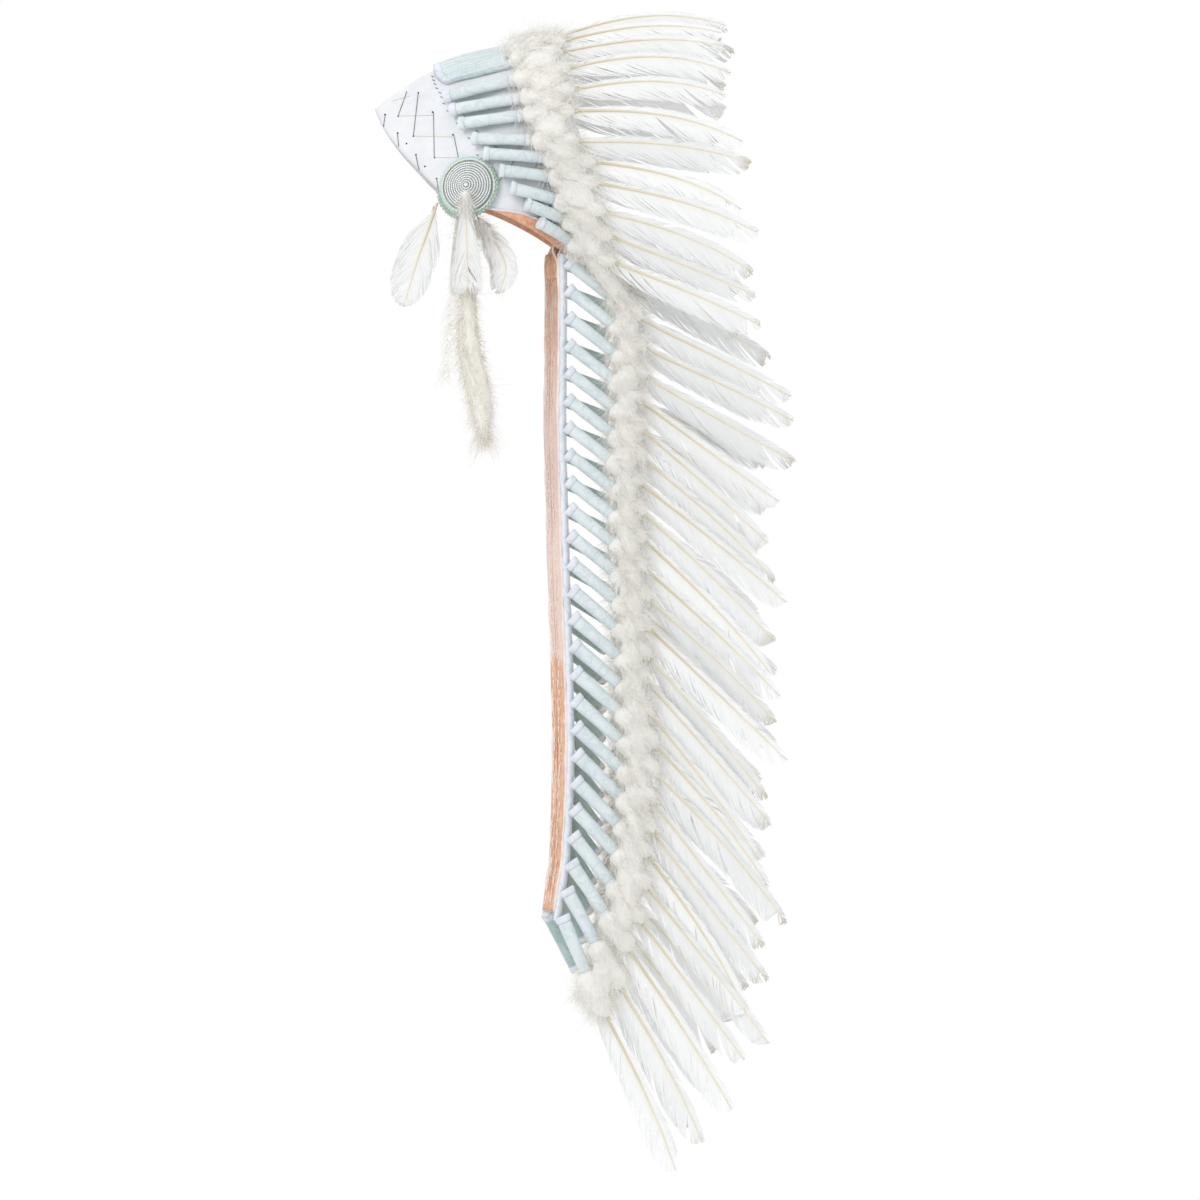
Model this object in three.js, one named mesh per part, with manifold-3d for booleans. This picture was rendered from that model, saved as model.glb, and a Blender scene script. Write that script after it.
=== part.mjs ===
// Feathered headdress: a leather cap with a crown of wrapped, plumed feathers and a long trailer that
// carries two more rows of them. The wearer looks along -X, the wearer's left is -Y, and +Z is up.
// The origin is the centre of the rim opening, where the cap sits on the head. Millimetres.
import * as THREE from "three";
import { mergeVertices } from "three/addons/utils/BufferGeometryUtils.js";
import Module from "manifold-3d";

const wasm = await Module();
wasm.setup();

// ---------------------------------------------------------------- driving dimensions

const GAP = 0.4; // between pieces that touch

const CAP = {
  wall: 2.5,
  around: 26, // points round the rim
  rise: 7, // rings from the rim to the top
  top: new THREE.Vector3(80, 0, 125),
  topReach: 0.5, // share of the way in from the rim over which the top is nearly flat
};

// Left half of the rim, from the crease at the brow to the nape. The wall leaves the rim leaning back
// by lean degrees from upright, and keeps that way for about reach.
const RIM = [
  { back: -87, side: 0, up: 65, lean: 52, reach: 55 },
  { back: -80, side: 8, up: 49, lean: 48, reach: 58 },
  { back: -63, side: 20, up: 24, lean: 42, reach: 62 },
  { back: -41, side: 34, up: 0, lean: 34, reach: 70 },
  { back: -22, side: 46, up: -18, lean: 28, reach: 78 },
  { back: 4, side: 59, up: -30, lean: 22, reach: 86 },
  { back: 32, side: 66, up: -39, lean: 20, reach: 90 },
  { back: 54, side: 64, up: -49, lean: 24, reach: 88 },
  { back: 72, side: 56, up: -59, lean: 34, reach: 86 },
  { back: 91, side: 35, up: -72, lean: 48, reach: 80 },
  { back: 101, side: 0, up: -79, lean: 54, reach: 76 },
];

const QUILL = { radius: 6, sides: 6, length: 65, stretches: 2, lift: 2.6 };

// The wrapped quills of the crown, seen from the side, from the top of the head to the nape, and how
// each one's feather goes on. Angles are in degrees: flare outwards, droop below level, sag more
// towards the tip, roll of the vane's face from sideways (0) to up (90).
const CROWN = [
  { startX: -19, startZ: 76, endX: 54, endZ: 93, flare: 3, droop: -8, sag: 34, roll: 25, length: 216 },
  { startX: -13, startZ: 63, endX: 57, endZ: 74, flare: 5, droop: -4, sag: 28, roll: 10, length: 222 },
  { startX: -4, startZ: 49, endX: 60, endZ: 57, flare: 7, droop: -1, sag: 25, roll: 0, length: 226 },
  { startX: 9, startZ: 34, endX: 67, endZ: 32, flare: 8, droop: 1, sag: 18, roll: -8, length: 220 },
  { startX: 20, startZ: 19, endX: 79, endZ: 15, flare: 9, droop: 6, sag: 22, roll: -12, length: 214 },
  { startX: 35, startZ: 2, endX: 87, endZ: -4, flare: 10, droop: 8, sag: 20, roll: -14, length: 220 },
  { startX: 46, startZ: -15, endX: 93, endZ: -27, flare: 11, droop: 12, sag: 24, roll: -16, length: 208 },
  { startX: 61, startZ: -31, endX: 101, endZ: -46, flare: 12, droop: 18, sag: 9, roll: -16, length: 210 },
  { startX: 75, startZ: -49, endX: 107, endZ: -67, flare: 12, droop: 22, sag: 9, roll: -16, length: 208 },
];
const CROWN_PER_PLUME = 3;

// The flat bundle of quills over the middle of the crown: where its ends lie on the middle of the cap
// and at its side edge.
const PANEL = {
  middleStart: -28,
  middleEnd: 45,
  edgeStartX: -15,
  edgeStartZ: 89,
  edgeEndX: 50,
  edgeEndZ: 104,
  thick: 5,
  valley: 1.2,
  ribs: 6,
  stretches: 3,
  lift: 1.4,
  plumeGap: 4,
};
const TOP_PLUMES = [
  { across: 0.83, flare: 6, droop: -12, sag: 28, roll: 50, length: 226 },
  { across: 0.5, flare: 4, droop: -16, sag: 36, roll: 66, length: 226 },
  { across: 0.17, flare: 2, droop: -14, sag: 36, roll: 80, length: 232 },
];

// The trailer hangs turned a little about the vertical. Its line says how far back its spine lies at
// each distance below the nape, and how wide half the strip is.
const TRAILER = { top: -79.5, turn: 11.25, depth: 14, wall: 2, strip: 657, binding: 664, stations: 10 };
const TRAILER_LINE = [
  { down: 0, back: 105, half: 28 },
  { down: 60, back: 105, half: 30 },
  { down: 175, back: 104, half: 30 },
  { down: 310, back: 107.5, half: 30 },
  { down: 412, back: 111, half: 30 },
  { down: 495, back: 112.5, half: 30 },
  { down: 541, back: 111.5, half: 29 },
  { down: 605, back: 108.5, half: 27 },
  { down: 664, back: 100, half: 24 },
];
const BINDING = { from: 0.84, to: 1.04, thick: 5 }; // shares of the strip's half width

const ROW = {
  left: { first: 9, pitch: 27.2 },
  right: { first: 5, pitch: 27.35 },
  count: 25,
  sink: 3.2,
  tuck: 2,
  flare: 12,
  perPlume: 5,
};
// Down each row: degrees below level of the quills and of the feathers, and the size of both.
const ROW_LINE = [
  { down: 9, leftQuill: 38, leftFeather: 27, rightQuill: 18, rightFeather: 17, length: 200, fluff: 16.5 },
  { down: 90, leftQuill: 38, leftFeather: 36, rightQuill: 18, rightFeather: 26, length: 206, fluff: 16.5 },
  { down: 230, leftQuill: 38, leftFeather: 42, rightQuill: 21, rightFeather: 31, length: 220, fluff: 16.5 },
  { down: 330, leftQuill: 40, leftFeather: 46, rightQuill: 30, rightFeather: 36, length: 232, fluff: 16.5 },
  { down: 450, leftQuill: 42, leftFeather: 49, rightQuill: 45, rightFeather: 40, length: 242, fluff: 16.5 },
  { down: 550, leftQuill: 46, leftFeather: 52, rightQuill: 51, rightFeather: 45, length: 238, fluff: 17 },
  { down: 607, leftQuill: 56, leftFeather: 57, rightQuill: 57, rightFeather: 50, length: 228, fluff: 19 },
  { down: 664, leftQuill: 67, leftFeather: 61, rightQuill: 62, rightFeather: 56, length: 220, fluff: 19 },
];
const ROW_FEATHER = { sag: 5, roll: -16 };

// Half widths of a feather's vane on either side of its shaft, by share of its length.
const VANE = [
  { along: 0, above: 4, below: 5 },
  { along: 0.35, above: 8.5, below: 18 },
  { along: 0.78, above: 8.5, below: 19 },
  { along: 1, above: 1.5, below: 2.5 },
];
const VANE_WIDTH = 27.5;
const VANE_START = 0.8; // share of the fluff's length at which the vane begins
const VANE_THICK = 2.4;

// Fluff tied round the foot of each feather, as one lump that narrows towards the tip.
const CROWN_FLUFF = { fluffRadius: 15.6, fluffLength: 60 };
const ROW_FLUFF = { fluffLength: 54 };
const FLUFF_NARROWING = 0.82;
const FLUFF_SIDES = 5;

const ROSETTE = { x: 6, z: -14, radius: 31, felt: 3, lift: 1, scallops: 18, scallop: 1.8 };
const DISC = { radius: 25, edge: 1.6, rise: 7, sides: 24 };

// Loose feathers under each rosette, by the line of their shafts seen from the side, and the fur drop.
const ROSETTE_FEATHERS = [
  {
    name: "front",
    out: -2,
    half: 16,
    line: [
      { x: -26, z: -30 },
      { x: -35, z: -56 },
      { x: -47, z: -90 },
      { x: -59, z: -131 },
    ],
  },
  {
    name: "middle",
    out: 16,
    half: 13,
    line: [
      { x: 4, z: -46 },
      { x: 5, z: -70 },
      { x: 5, z: -95 },
      { x: 4, z: -121 },
    ],
  },
  {
    name: "curled",
    out: -2,
    half: 11,
    line: [
      { x: 19, z: -49 },
      { x: 34, z: -70 },
      { x: 44, z: -94 },
      { x: 36, z: -120 },
    ],
  },
];
const FUR_DROP = {
  radius: 11.5,
  sides: 7,
  out: 1,
  line: [
    { x: 5, z: -47, share: 0.6 },
    { x: 5, z: -75, share: 0.95 },
    { x: 5, z: -120, share: 0.9 },
    { x: 7, z: -173, share: 1 },
    { x: 17, z: -223, share: 1.05 },
    { x: 21, z: -258, share: 0.95 },
    { x: 22, z: -270, share: 0.4 },
  ],
};

// ---------------------------------------------------------------- materials

const material = (color, roughness, metalness = 0) =>
  new THREE.MeshStandardMaterial({ color, roughness, metalness, side: THREE.DoubleSide });

const LEATHER = material(0xece9ee, 0.7);
const SUEDE = material(0xd3a687, 0.9);
const CLOTH = material(0xcfdde0, 0.85);
const FEATHER = material(0xf1f0ec, 0.6);
const FELT = material(0xb5d3c6, 0.9);
const BEADED = material(0xd5d7d6, 0.35, 0.4);
const FUR = material(0xe9e5da, 0.95);

// ---------------------------------------------------------------- helpers

const radians = THREE.MathUtils.degToRad;
const vec = (x, y, z) => new THREE.Vector3(x, y, z);

// A column of a table at any place between its rows.
function valueAt(table, key, place, column) {
  const after = table.findIndex((row) => row[key] >= place);
  if (after === 0) return table[0][column];
  if (after < 0) return table[table.length - 1][column];
  const low = table[after - 1];
  const high = table[after];
  return THREE.MathUtils.mapLinear(place, low[key], high[key], low[column], high[column]);
}

// A closed skin through rings that have the same number of points, with a fan over each end.
function loft(rings) {
  const around = rings[0].length;
  const points = rings.flat();
  const index = [];
  for (let r = 0; r + 1 < rings.length; r += 1) {
    for (let k = 0; k < around; k += 1) {
      const a = r * around + k;
      const b = r * around + ((k + 1) % around);
      index.push(a, b, b + around, a, b + around, a + around);
    }
  }
  const last = (rings.length - 1) * around;
  for (let k = 1; k + 1 < around; k += 1) {
    index.push(0, k + 1, k, last, last + k, last + k + 1);
  }
  const geometry = new THREE.BufferGeometry().setFromPoints(points);
  geometry.setIndex(index);
  return geometry;
}

// A three.js geometry as a manifold-3d solid, faces out whichever way its rings ran.
const WELD = 1e-3;
function solidOf(geometry) {
  const bare = geometry.clone();
  bare.deleteAttribute("normal");
  bare.deleteAttribute("uv");
  const merged = mergeVertices(bare, WELD);
  const vertProperties = merged.attributes.position.array;
  const triVerts = new Uint32Array(merged.index.array);
  const solid = new wasm.Manifold(new wasm.Mesh({ numProp: 3, vertProperties, triVerts }));
  if (solid.volume() > 0) return solid;
  triVerts.reverse();
  return new wasm.Manifold(new wasm.Mesh({ numProp: 3, vertProperties, triVerts }));
}

function geometryOf(solid) {
  const mesh = solid.getMesh();
  const positions = new Float32Array(mesh.numVert * 3);
  for (let v = 0; v < mesh.numVert; v += 1) {
    for (let k = 0; k < 3; k += 1) {
      positions[v * 3 + k] = mesh.vertProperties[v * mesh.numProp + k];
    }
  }
  const geometry = new THREE.BufferGeometry();
  geometry.setAttribute("position", new THREE.BufferAttribute(positions, 3));
  geometry.setIndex(new THREE.BufferAttribute(new Uint32Array(mesh.triVerts), 1));
  return geometry;
}

const fused = (geometries) => geometries.map(solidOf).reduce((whole, next) => whole.add(next));

const headdress = new THREE.Group();

function addPiece(name, geometry, finish) {
  const shown = geometry.index ? geometry.toNonIndexed() : geometry;
  shown.computeVertexNormals();
  const mesh = new THREE.Mesh(shown, finish);
  mesh.name = name;
  headdress.add(mesh);
  return mesh;
}

// side is -1 on the wearer's left and +1 on the right.
const SIDES = [
  { name: "left", side: -1 },
  { name: "right", side: 1 },
];

// ---------------------------------------------------------------- cap

// The rim as a closed loop of points, inset by a distance towards the inside of the cap. Each point
// keeps the lean and reach of its wall.
function rimLoop(inset) {
  const rows = [...RIM, ...RIM.slice(1, -1).reverse().map((row) => ({ ...row, side: -row.side }))];
  const curve = (pick) => new THREE.CatmullRomCurve3(rows.map(pick), true, "centripetal");
  const place = curve((row) => vec(row.back, -row.side, row.up));
  const wall = new THREE.CatmullRomCurve3(
    rows.map((row) => vec(row.lean, row.reach, 0)),
    true,
  );
  const steps = [...Array(CAP.around).keys()].map((k) => k / CAP.around);
  const loop = steps.map((share) => place.getPoint(share));
  return loop.map((point, k) => {
    const before = loop[(k + loop.length - 1) % loop.length];
    const after = loop[(k + 1) % loop.length];
    const along = after.clone().sub(before).setZ(0).normalize();
    const inward = vec(-along.y, along.x, 0);
    const turn = point.clone().sub(before).setZ(0).angleTo(after.clone().sub(point).setZ(0));
    const shape = wall.getPoint(steps[k]);
    return {
      point: point.clone().addScaledVector(inward, inset / Math.cos(turn / 2)),
      lean: radians(shape.x),
      reach: shape.y,
    };
  });
}

// Rings of the dome from its rim to its top point, offset inwards. Each meridian is a Bezier curve.
function domeRings(inset) {
  const top = CAP.top.clone().setZ(CAP.top.z - inset);
  const meridians = rimLoop(inset).map(({ point, lean, reach }) => {
    const rise = vec(Math.sin(lean), 0, Math.cos(lean)).multiplyScalar(reach);
    const arrival = top.clone().sub(point).setZ(0).multiplyScalar(CAP.topReach);
    return new THREE.CubicBezierCurve3(point, point.clone().add(rise), top.clone().sub(arrival), top);
  });
  return [...Array(CAP.rise + 1).keys()].map((r) => meridians.map((m) => m.getPoint(r / CAP.rise)));
}

// Inner and outer domes joined along the rim: a leather wall, open below.
const capGeometry = loft([...domeRings(CAP.wall).reverse(), ...domeRings(0)]);
const capMesh = addPiece("cap", geometryOf(solidOf(capGeometry)), LEATHER);

// The cap filled in and a gap larger, to keep other pieces off it.
const capClearance = solidOf(loft(domeRings(-GAP)));

// The point of the cap's outside that a ray meets first, with its outward direction.
function onCap(origin, direction) {
  const hit = new THREE.Raycaster(origin, direction).intersectObject(capMesh)[0];
  const out = hit.face.normal.clone();
  if (out.dot(direction) > 0) out.negate();
  return { point: hit.point, out };
}

const FAR = 400; // outside the cap in every direction
const capSide = (x, z, side) => onCap(vec(x, side * FAR, z), vec(0, -side, 0));
const capTop = (x, y) => onCap(vec(x, y, FAR), vec(0, 0, -1));

// ---------------------------------------------------------------- wrapped quills and plumes

// A ring of points round a centre, square to a direction.
function ringAt(centre, direction, radius, sides) {
  const turn = new THREE.Quaternion().setFromUnitVectors(vec(0, 0, 1), direction);
  return [...Array(sides).keys()].map((k) => {
    const angle = (k / sides) * Math.PI * 2;
    return vec(Math.cos(angle), Math.sin(angle), 0)
      .multiplyScalar(radius)
      .applyQuaternion(turn)
      .add(centre);
  });
}

// A round rod through points, with flat ends.
function rod(points, radius, sides) {
  const rings = points.map((point, k) => {
    const before = points[Math.max(k - 1, 0)];
    const after = points[Math.min(k + 1, points.length - 1)];
    return ringAt(point, after.clone().sub(before).normalize(), radius, sides);
  });
  return loft(rings);
}

// The direction of a shaft that heads outwards by flare and points down by droop, both in degrees.
function heading(side, flare, droop, turn = 0) {
  const plan = radians(turn + side * flare);
  const level = Math.cos(radians(droop));
  return vec(level * Math.cos(plan), level * Math.sin(plan), -Math.sin(radians(droop)));
}

// A shaft from the end of its quill: it turns from the quill's droop to its own in the fluff, and
// sags towards the tip. It is a list of points with the direction and face of the vane at each.
const SHAFT_STEPS = 24;
const SAG_POWER = 1.5;

function shaft({ foot, side, flare, quillDroop, droop, sag, roll, length, fluffLength, turn = 0 }) {
  const plan = radians(turn + side * flare);
  const outward = vec(-side * Math.sin(plan), side * Math.cos(plan), 0);
  const places = [];
  const point = foot.clone();
  for (let k = 0; k <= SHAFT_STEPS; k += 1) {
    const gone = (k / SHAFT_STEPS) * length;
    const bent = THREE.MathUtils.lerp(quillDroop, droop, Math.min(gone / fluffLength, 1));
    const sagging = Math.max(0, (gone - fluffLength) / (length - fluffLength)) ** SAG_POWER;
    const angle = bent + sag * sagging;
    const along = heading(side, flare, angle, turn);
    const upward = along.clone().cross(outward).multiplyScalar(side);
    if (upward.z < 0) upward.negate();
    const lean = radians(roll);
    const rise = upward.clone().multiplyScalar(Math.cos(lean)).addScaledVector(outward, -Math.sin(lean));
    const face = outward.clone().multiplyScalar(Math.cos(lean)).addScaledVector(upward, Math.sin(lean));
    places.push({ point: point.clone(), along, rise, face });
    point.addScaledVector(along, length / SHAFT_STEPS);
  }
  return places;
}

// The place at a share of a shaft's length.
const placeAt = (places, share) => places[Math.round(share * (places.length - 1))];

// A vane along a shaft: a thin plate with a ridge along the shaft.
function vane(places, from, thick) {
  const rings = VANE.map(({ along, above, below }) => {
    const { point, rise, face } = placeAt(places, THREE.MathUtils.lerp(from, 1, along));
    return [
      point.clone().addScaledVector(rise, above),
      point.clone().addScaledVector(face, along < 1 ? thick : thick / 2),
      point.clone().addScaledVector(rise, -below),
    ];
  });
  return loft(rings);
}

// The fluff round the foot of a feather.
function fluffAround(places, { fluffRadius, fluffLength, length }, grow) {
  const start = placeAt(places, 0);
  const end = placeAt(places, fluffLength / length);
  const endRadius = fluffRadius * FLUFF_NARROWING + grow;
  return loft([
    ringAt(start.point, start.along, fluffRadius + grow, FLUFF_SIDES),
    ringAt(end.point, end.along, endRadius, FLUFF_SIDES),
  ]);
}

// One feather with its fluff, as the solids to be fused. A larger copy keeps its neighbours clear.
function plume(unit, grow = 0) {
  const places = shaft(unit);
  const from = (unit.fluffLength * VANE_START) / unit.length;
  return [fluffAround(places, unit, grow), vane(places, from, VANE_THICK + grow)];
}

// Plumes in runs of a few feathers, each run one body. A run keeps clear of the run before it and of
// the given solids.
function addPlumes(name, units, run, clearances) {
  let before = null;
  for (let first = 0; first < units.length; first += run) {
    const part = units.slice(first, first + run);
    let body = fused(part.flatMap((unit) => plume(unit)));
    clearances.forEach((solid) => {
      body = body.subtract(solid);
    });
    if (before) body = body.subtract(before);
    const number = units.length > run ? `_${first / run + 1}` : "";
    addPiece(`${name}${number}`, geometryOf(body), FEATHER);
    before = fused(part.flatMap((unit) => plume(unit, GAP)));
  }
  return before;
}

// ---------------------------------------------------------------- crown

// Points of a quill that follows the cap from one place to another on its side.
function crownQuill(row, side) {
  return [...Array(QUILL.stretches + 1).keys()].map((k) => {
    const share = k / QUILL.stretches;
    const x = THREE.MathUtils.lerp(row.startX, row.endX, share);
    const z = THREE.MathUtils.lerp(row.startZ, row.endZ, share);
    const { point, out } = capSide(x, z, side);
    return point.add(vec(0, (side * (QUILL.radius + QUILL.lift)) / Math.abs(out.y), 0));
  });
}

// A point over the cap at a share of the panel's length and from -1 to 1 across it.
function overPanel(share, across, height) {
  const edgeX = THREE.MathUtils.lerp(PANEL.edgeStartX, PANEL.edgeEndX, share);
  const edgeZ = THREE.MathUtils.lerp(PANEL.edgeStartZ, PANEL.edgeEndZ, share);
  const middleX = THREE.MathUtils.lerp(PANEL.middleStart, PANEL.middleEnd, share);
  const half = Math.abs(capSide(edgeX, edgeZ, 1).point.y);
  const x = THREE.MathUtils.lerp(middleX, edgeX, across ** 2);
  const { point, out } = capTop(x, across * half);
  return point.addScaledVector(out, height);
}

function panelGeometry() {
  const marks = PANEL.ribs * 2;
  const rings = [...Array(PANEL.stretches + 1).keys()].map((k) => {
    const share = k / PANEL.stretches;
    const across = [...Array(marks + 1).keys()].map((m) => (m / marks) * 2 - 1);
    const above = across.map((a, m) =>
      overPanel(share, a, PANEL.lift + PANEL.thick - (m % 2 ? 0 : PANEL.valley)),
    );
    const under = across.map((a) => overPanel(share, a, PANEL.lift)).reverse();
    return [...above, ...under];
  });
  return loft(rings);
}

const panel = panelGeometry();
addPiece("crown_panel", geometryOf(solidOf(panel)), CLOTH);

// A quill's end moved on by the gap that the fluff keeps.
const beyond = (end, before) => end.clone().add(end.clone().sub(before).setLength(GAP));

const crownUnits = SIDES.map(({ name, side }) => {
  const lines = CROWN.map((row) => crownQuill(row, side));
  lines.forEach((line, k) => {
    addPiece(`crown_quill_${name}_${k + 1}`, rod(line, QUILL.radius, QUILL.sides), CLOTH);
  });
  const units = CROWN.map((row, k) => {
    const foot = beyond(lines[k][QUILL.stretches], lines[k][QUILL.stretches - 1]);
    const fall = Math.atan2(row.startZ - row.endZ, row.endX - row.startX);
    return { ...row, ...CROWN_FLUFF, foot, side, quillDroop: THREE.MathUtils.radToDeg(fall) };
  });
  const clearance = fused(lines.map((line) => rod(line, QUILL.radius + GAP, QUILL.sides)));
  return { name, units, clearance };
});

const topUnits = TOP_PLUMES.map((row) => {
  const foot = overPanel(1, -row.across, PANEL.lift + PANEL.thick / 2);
  foot.addScaledVector(heading(-1, row.flare, row.droop), PANEL.plumeGap);
  return { ...row, ...CROWN_FLUFF, foot, side: -1, quillDroop: row.droop };
});
const mirrored = (unit) => ({ ...unit, foot: unit.foot.clone().setY(-unit.foot.y), side: -unit.side });
topUnits.push(...topUnits.map(mirrored).reverse());

const clearances = [capClearance, ...crownUnits.map(({ clearance }) => clearance)];
const topClearance = addPlumes("crown_plumes_top", topUnits, topUnits.length, clearances);
const crownEnds = crownUnits.map(({ name, units }) =>
  addPlumes(`crown_plumes_${name}`, units, CROWN_PER_PLUME, [...clearances, topClearance]),
);

// ---------------------------------------------------------------- trailer

// The middle of the strip's back at a distance below the nape, and the two directions of its plan.
function trailerAt(down) {
  return vec(valueAt(TRAILER_LINE, "down", down, "back"), 0, TRAILER.top - down);
}
const TURN = radians(TRAILER.turn);
const BACKWARD = vec(Math.cos(TURN), Math.sin(TURN), 0);
const SIDEWAYS = vec(-Math.sin(TURN), Math.cos(TURN), 0);

// A point of the strip's back face, from -1 to 1 across it, moved out along the face's normal.
function onStrip(down, across, out) {
  const half = valueAt(TRAILER_LINE, "down", down, "half");
  const slope = (2 * TRAILER.depth * across) / half;
  const normal = vec(1, slope, 0).normalize();
  const back = -TRAILER.depth * across ** 2 + normal.x * out;
  const aside = half * across + normal.y * out;
  return trailerAt(down).addScaledVector(BACKWARD, back).addScaledVector(SIDEWAYS, aside);
}

// A band along the strip, between two places across it and two distances out from its back face.
function band(length, from, to, marks, inner, outer) {
  const across = [...Array(marks + 1).keys()].map((m) => THREE.MathUtils.lerp(from, to, m / marks));
  const rings = [...Array(TRAILER.stations + 1).keys()].map((k) => {
    const down = (k / TRAILER.stations) * length;
    const far = across.map((a) => onStrip(down, a, outer));
    const near = across.map((a) => onStrip(down, a, inner)).reverse();
    return [...far, ...near];
  });
  return loft(rings);
}

const STRIP_MARKS = 4;
const strip = band(TRAILER.strip, -1, 1, STRIP_MARKS, -TRAILER.wall, 0);
addPiece("trailer_strip", geometryOf(solidOf(strip)), SUEDE);

SIDES.forEach(({ name, side }, which) => {
  const { first, pitch } = ROW[name];
  const drops = [...Array(ROW.count).keys()].map((k) => first + k * pitch);
  const middle = (side * (BINDING.from + BINDING.to)) / 2;
  const out = GAP + BINDING.thick - ROW.sink + QUILL.radius;
  const units = drops.map((down) => {
    const quillDroop = valueAt(ROW_LINE, "down", down, `${name}Quill`);
    const along = heading(side, ROW.flare, quillDroop, TRAILER.turn);
    const root = onStrip(down, middle, out).addScaledVector(along, -ROW.tuck);
    const end = root.clone().addScaledVector(along, QUILL.length + ROW.tuck);
    return {
      ...ROW_FEATHER,
      ...ROW_FLUFF,
      flare: ROW.flare,
      turn: TRAILER.turn,
      side,
      root,
      end,
      foot: beyond(end, root),
      quillDroop,
      droop: valueAt(ROW_LINE, "down", down, `${name}Feather`),
      length: valueAt(ROW_LINE, "down", down, "length"),
      fluffRadius: valueAt(ROW_LINE, "down", down, "fluff"),
    };
  });
  const quills = (grow) =>
    units.map(({ root, end }) => rod([root, end], QUILL.radius + grow, QUILL.sides));
  const edges = [side * BINDING.from, side * BINDING.to].sort((a, b) => a - b);
  const binding = band(TRAILER.binding, ...edges, 1, GAP, GAP + BINDING.thick);
  addPiece(`quill_row_${name}`, geometryOf(fused([binding, ...quills(0)])), CLOTH);
  const kept = [fused(quills(GAP)), crownEnds[which]];
  addPlumes(`trailer_plumes_${name}`, units, ROW.perPlume, kept);
});

// ---------------------------------------------------------------- rosettes and what hangs from them

// A scalloped disc with a coned, coiled disc on it, both facing +Z.
function feltGeometry() {
  const outline = new THREE.Shape();
  const steps = ROSETTE.scallops * 2;
  const edge = [...Array(steps).keys()].map((k) => {
    const radius = ROSETTE.radius - (k % 2) * ROSETTE.scallop;
    const angle = (k / steps) * Math.PI * 2;
    return new THREE.Vector2(Math.cos(angle) * radius, Math.sin(angle) * radius);
  });
  outline.setFromPoints(edge);
  return new THREE.ExtrudeGeometry(outline, { depth: ROSETTE.felt, bevelEnabled: false });
}

function discGeometry() {
  const base = ROSETTE.felt + GAP;
  const profile = [
    new THREE.Vector2(0, base),
    new THREE.Vector2(DISC.radius, base),
    new THREE.Vector2(DISC.radius, base + DISC.edge),
    new THREE.Vector2(0, base + DISC.edge + DISC.rise),
  ];
  return new THREE.LatheGeometry(profile, DISC.sides).rotateX(Math.PI / 2);
}

// A loose feather hung from its root, whose face looks sideways.
function hangingFeather({ line, half }, y) {
  const curve = new THREE.CatmullRomCurve3(line.map(({ x, z }) => vec(x, y, z)));
  const rings = VANE.map(({ along, above, below }) => {
    const point = curve.getPoint(along);
    const tangent = curve.getTangent(along);
    const aside = vec(-tangent.z, 0, tangent.x);
    const width = ((above + below) / VANE_WIDTH) * half;
    return [
      point.clone().addScaledVector(aside, width),
      point.clone().add(vec(0, VANE_THICK / 2, 0)),
      point.clone().addScaledVector(aside, -width),
      point.clone().add(vec(0, -VANE_THICK / 2, 0)),
    ];
  });
  return loft(rings);
}

function furGeometry(y) {
  const points = FUR_DROP.line.map(({ x, z }) => vec(x, y, z));
  const rings = points.map((point, k) => {
    const before = points[Math.max(k - 1, 0)];
    const after = points[Math.min(k + 1, points.length - 1)];
    const direction = after.clone().sub(before).normalize();
    return ringAt(point, direction, FUR_DROP.radius * FUR_DROP.line[k].share, FUR_DROP.sides);
  });
  return loft(rings);
}

SIDES.forEach(({ name, side }) => {
  const { point, out } = capSide(ROSETTE.x, ROSETTE.z, side);
  const back = point.clone().addScaledVector(out, ROSETTE.lift);
  const turn = new THREE.Quaternion().setFromUnitVectors(vec(0, 0, 1), out);
  const place = (geometry) => geometry.applyQuaternion(turn).translate(back.x, back.y, back.z);
  addPiece(`rosette_felt_${name}`, geometryOf(solidOf(place(feltGeometry()))), FELT);
  addPiece(`rosette_disc_${name}`, geometryOf(solidOf(place(discGeometry()))), BEADED);
  ROSETTE_FEATHERS.forEach((row) => {
    const feather = hangingFeather(row, back.y + side * row.out);
    addPiece(`rosette_feather_${row.name}_${name}`, geometryOf(solidOf(feather)), FEATHER);
  });
  const fur = furGeometry(back.y + side * FUR_DROP.out);
  addPiece(`fur_drop_${name}`, geometryOf(solidOf(fur)), FUR);
});

export default headdress;
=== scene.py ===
"""Visual model of a feathered headdress: hide cap, wrapped quills, plumes, rosettes and trailer.

Lengths in the tables are millimetres and angles are degrees. The wearer looks along -X, the
wearer's left is -Y and +Z is up. The origin is the centre of the cap's rim opening.
"""

import logging
import math
from collections.abc import Callable, Sequence
from dataclasses import dataclass, field
from enum import Enum
from itertools import pairwise

import bpy
import numpy as np
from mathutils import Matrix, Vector
from mathutils.bvhtree import BVHTree


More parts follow.
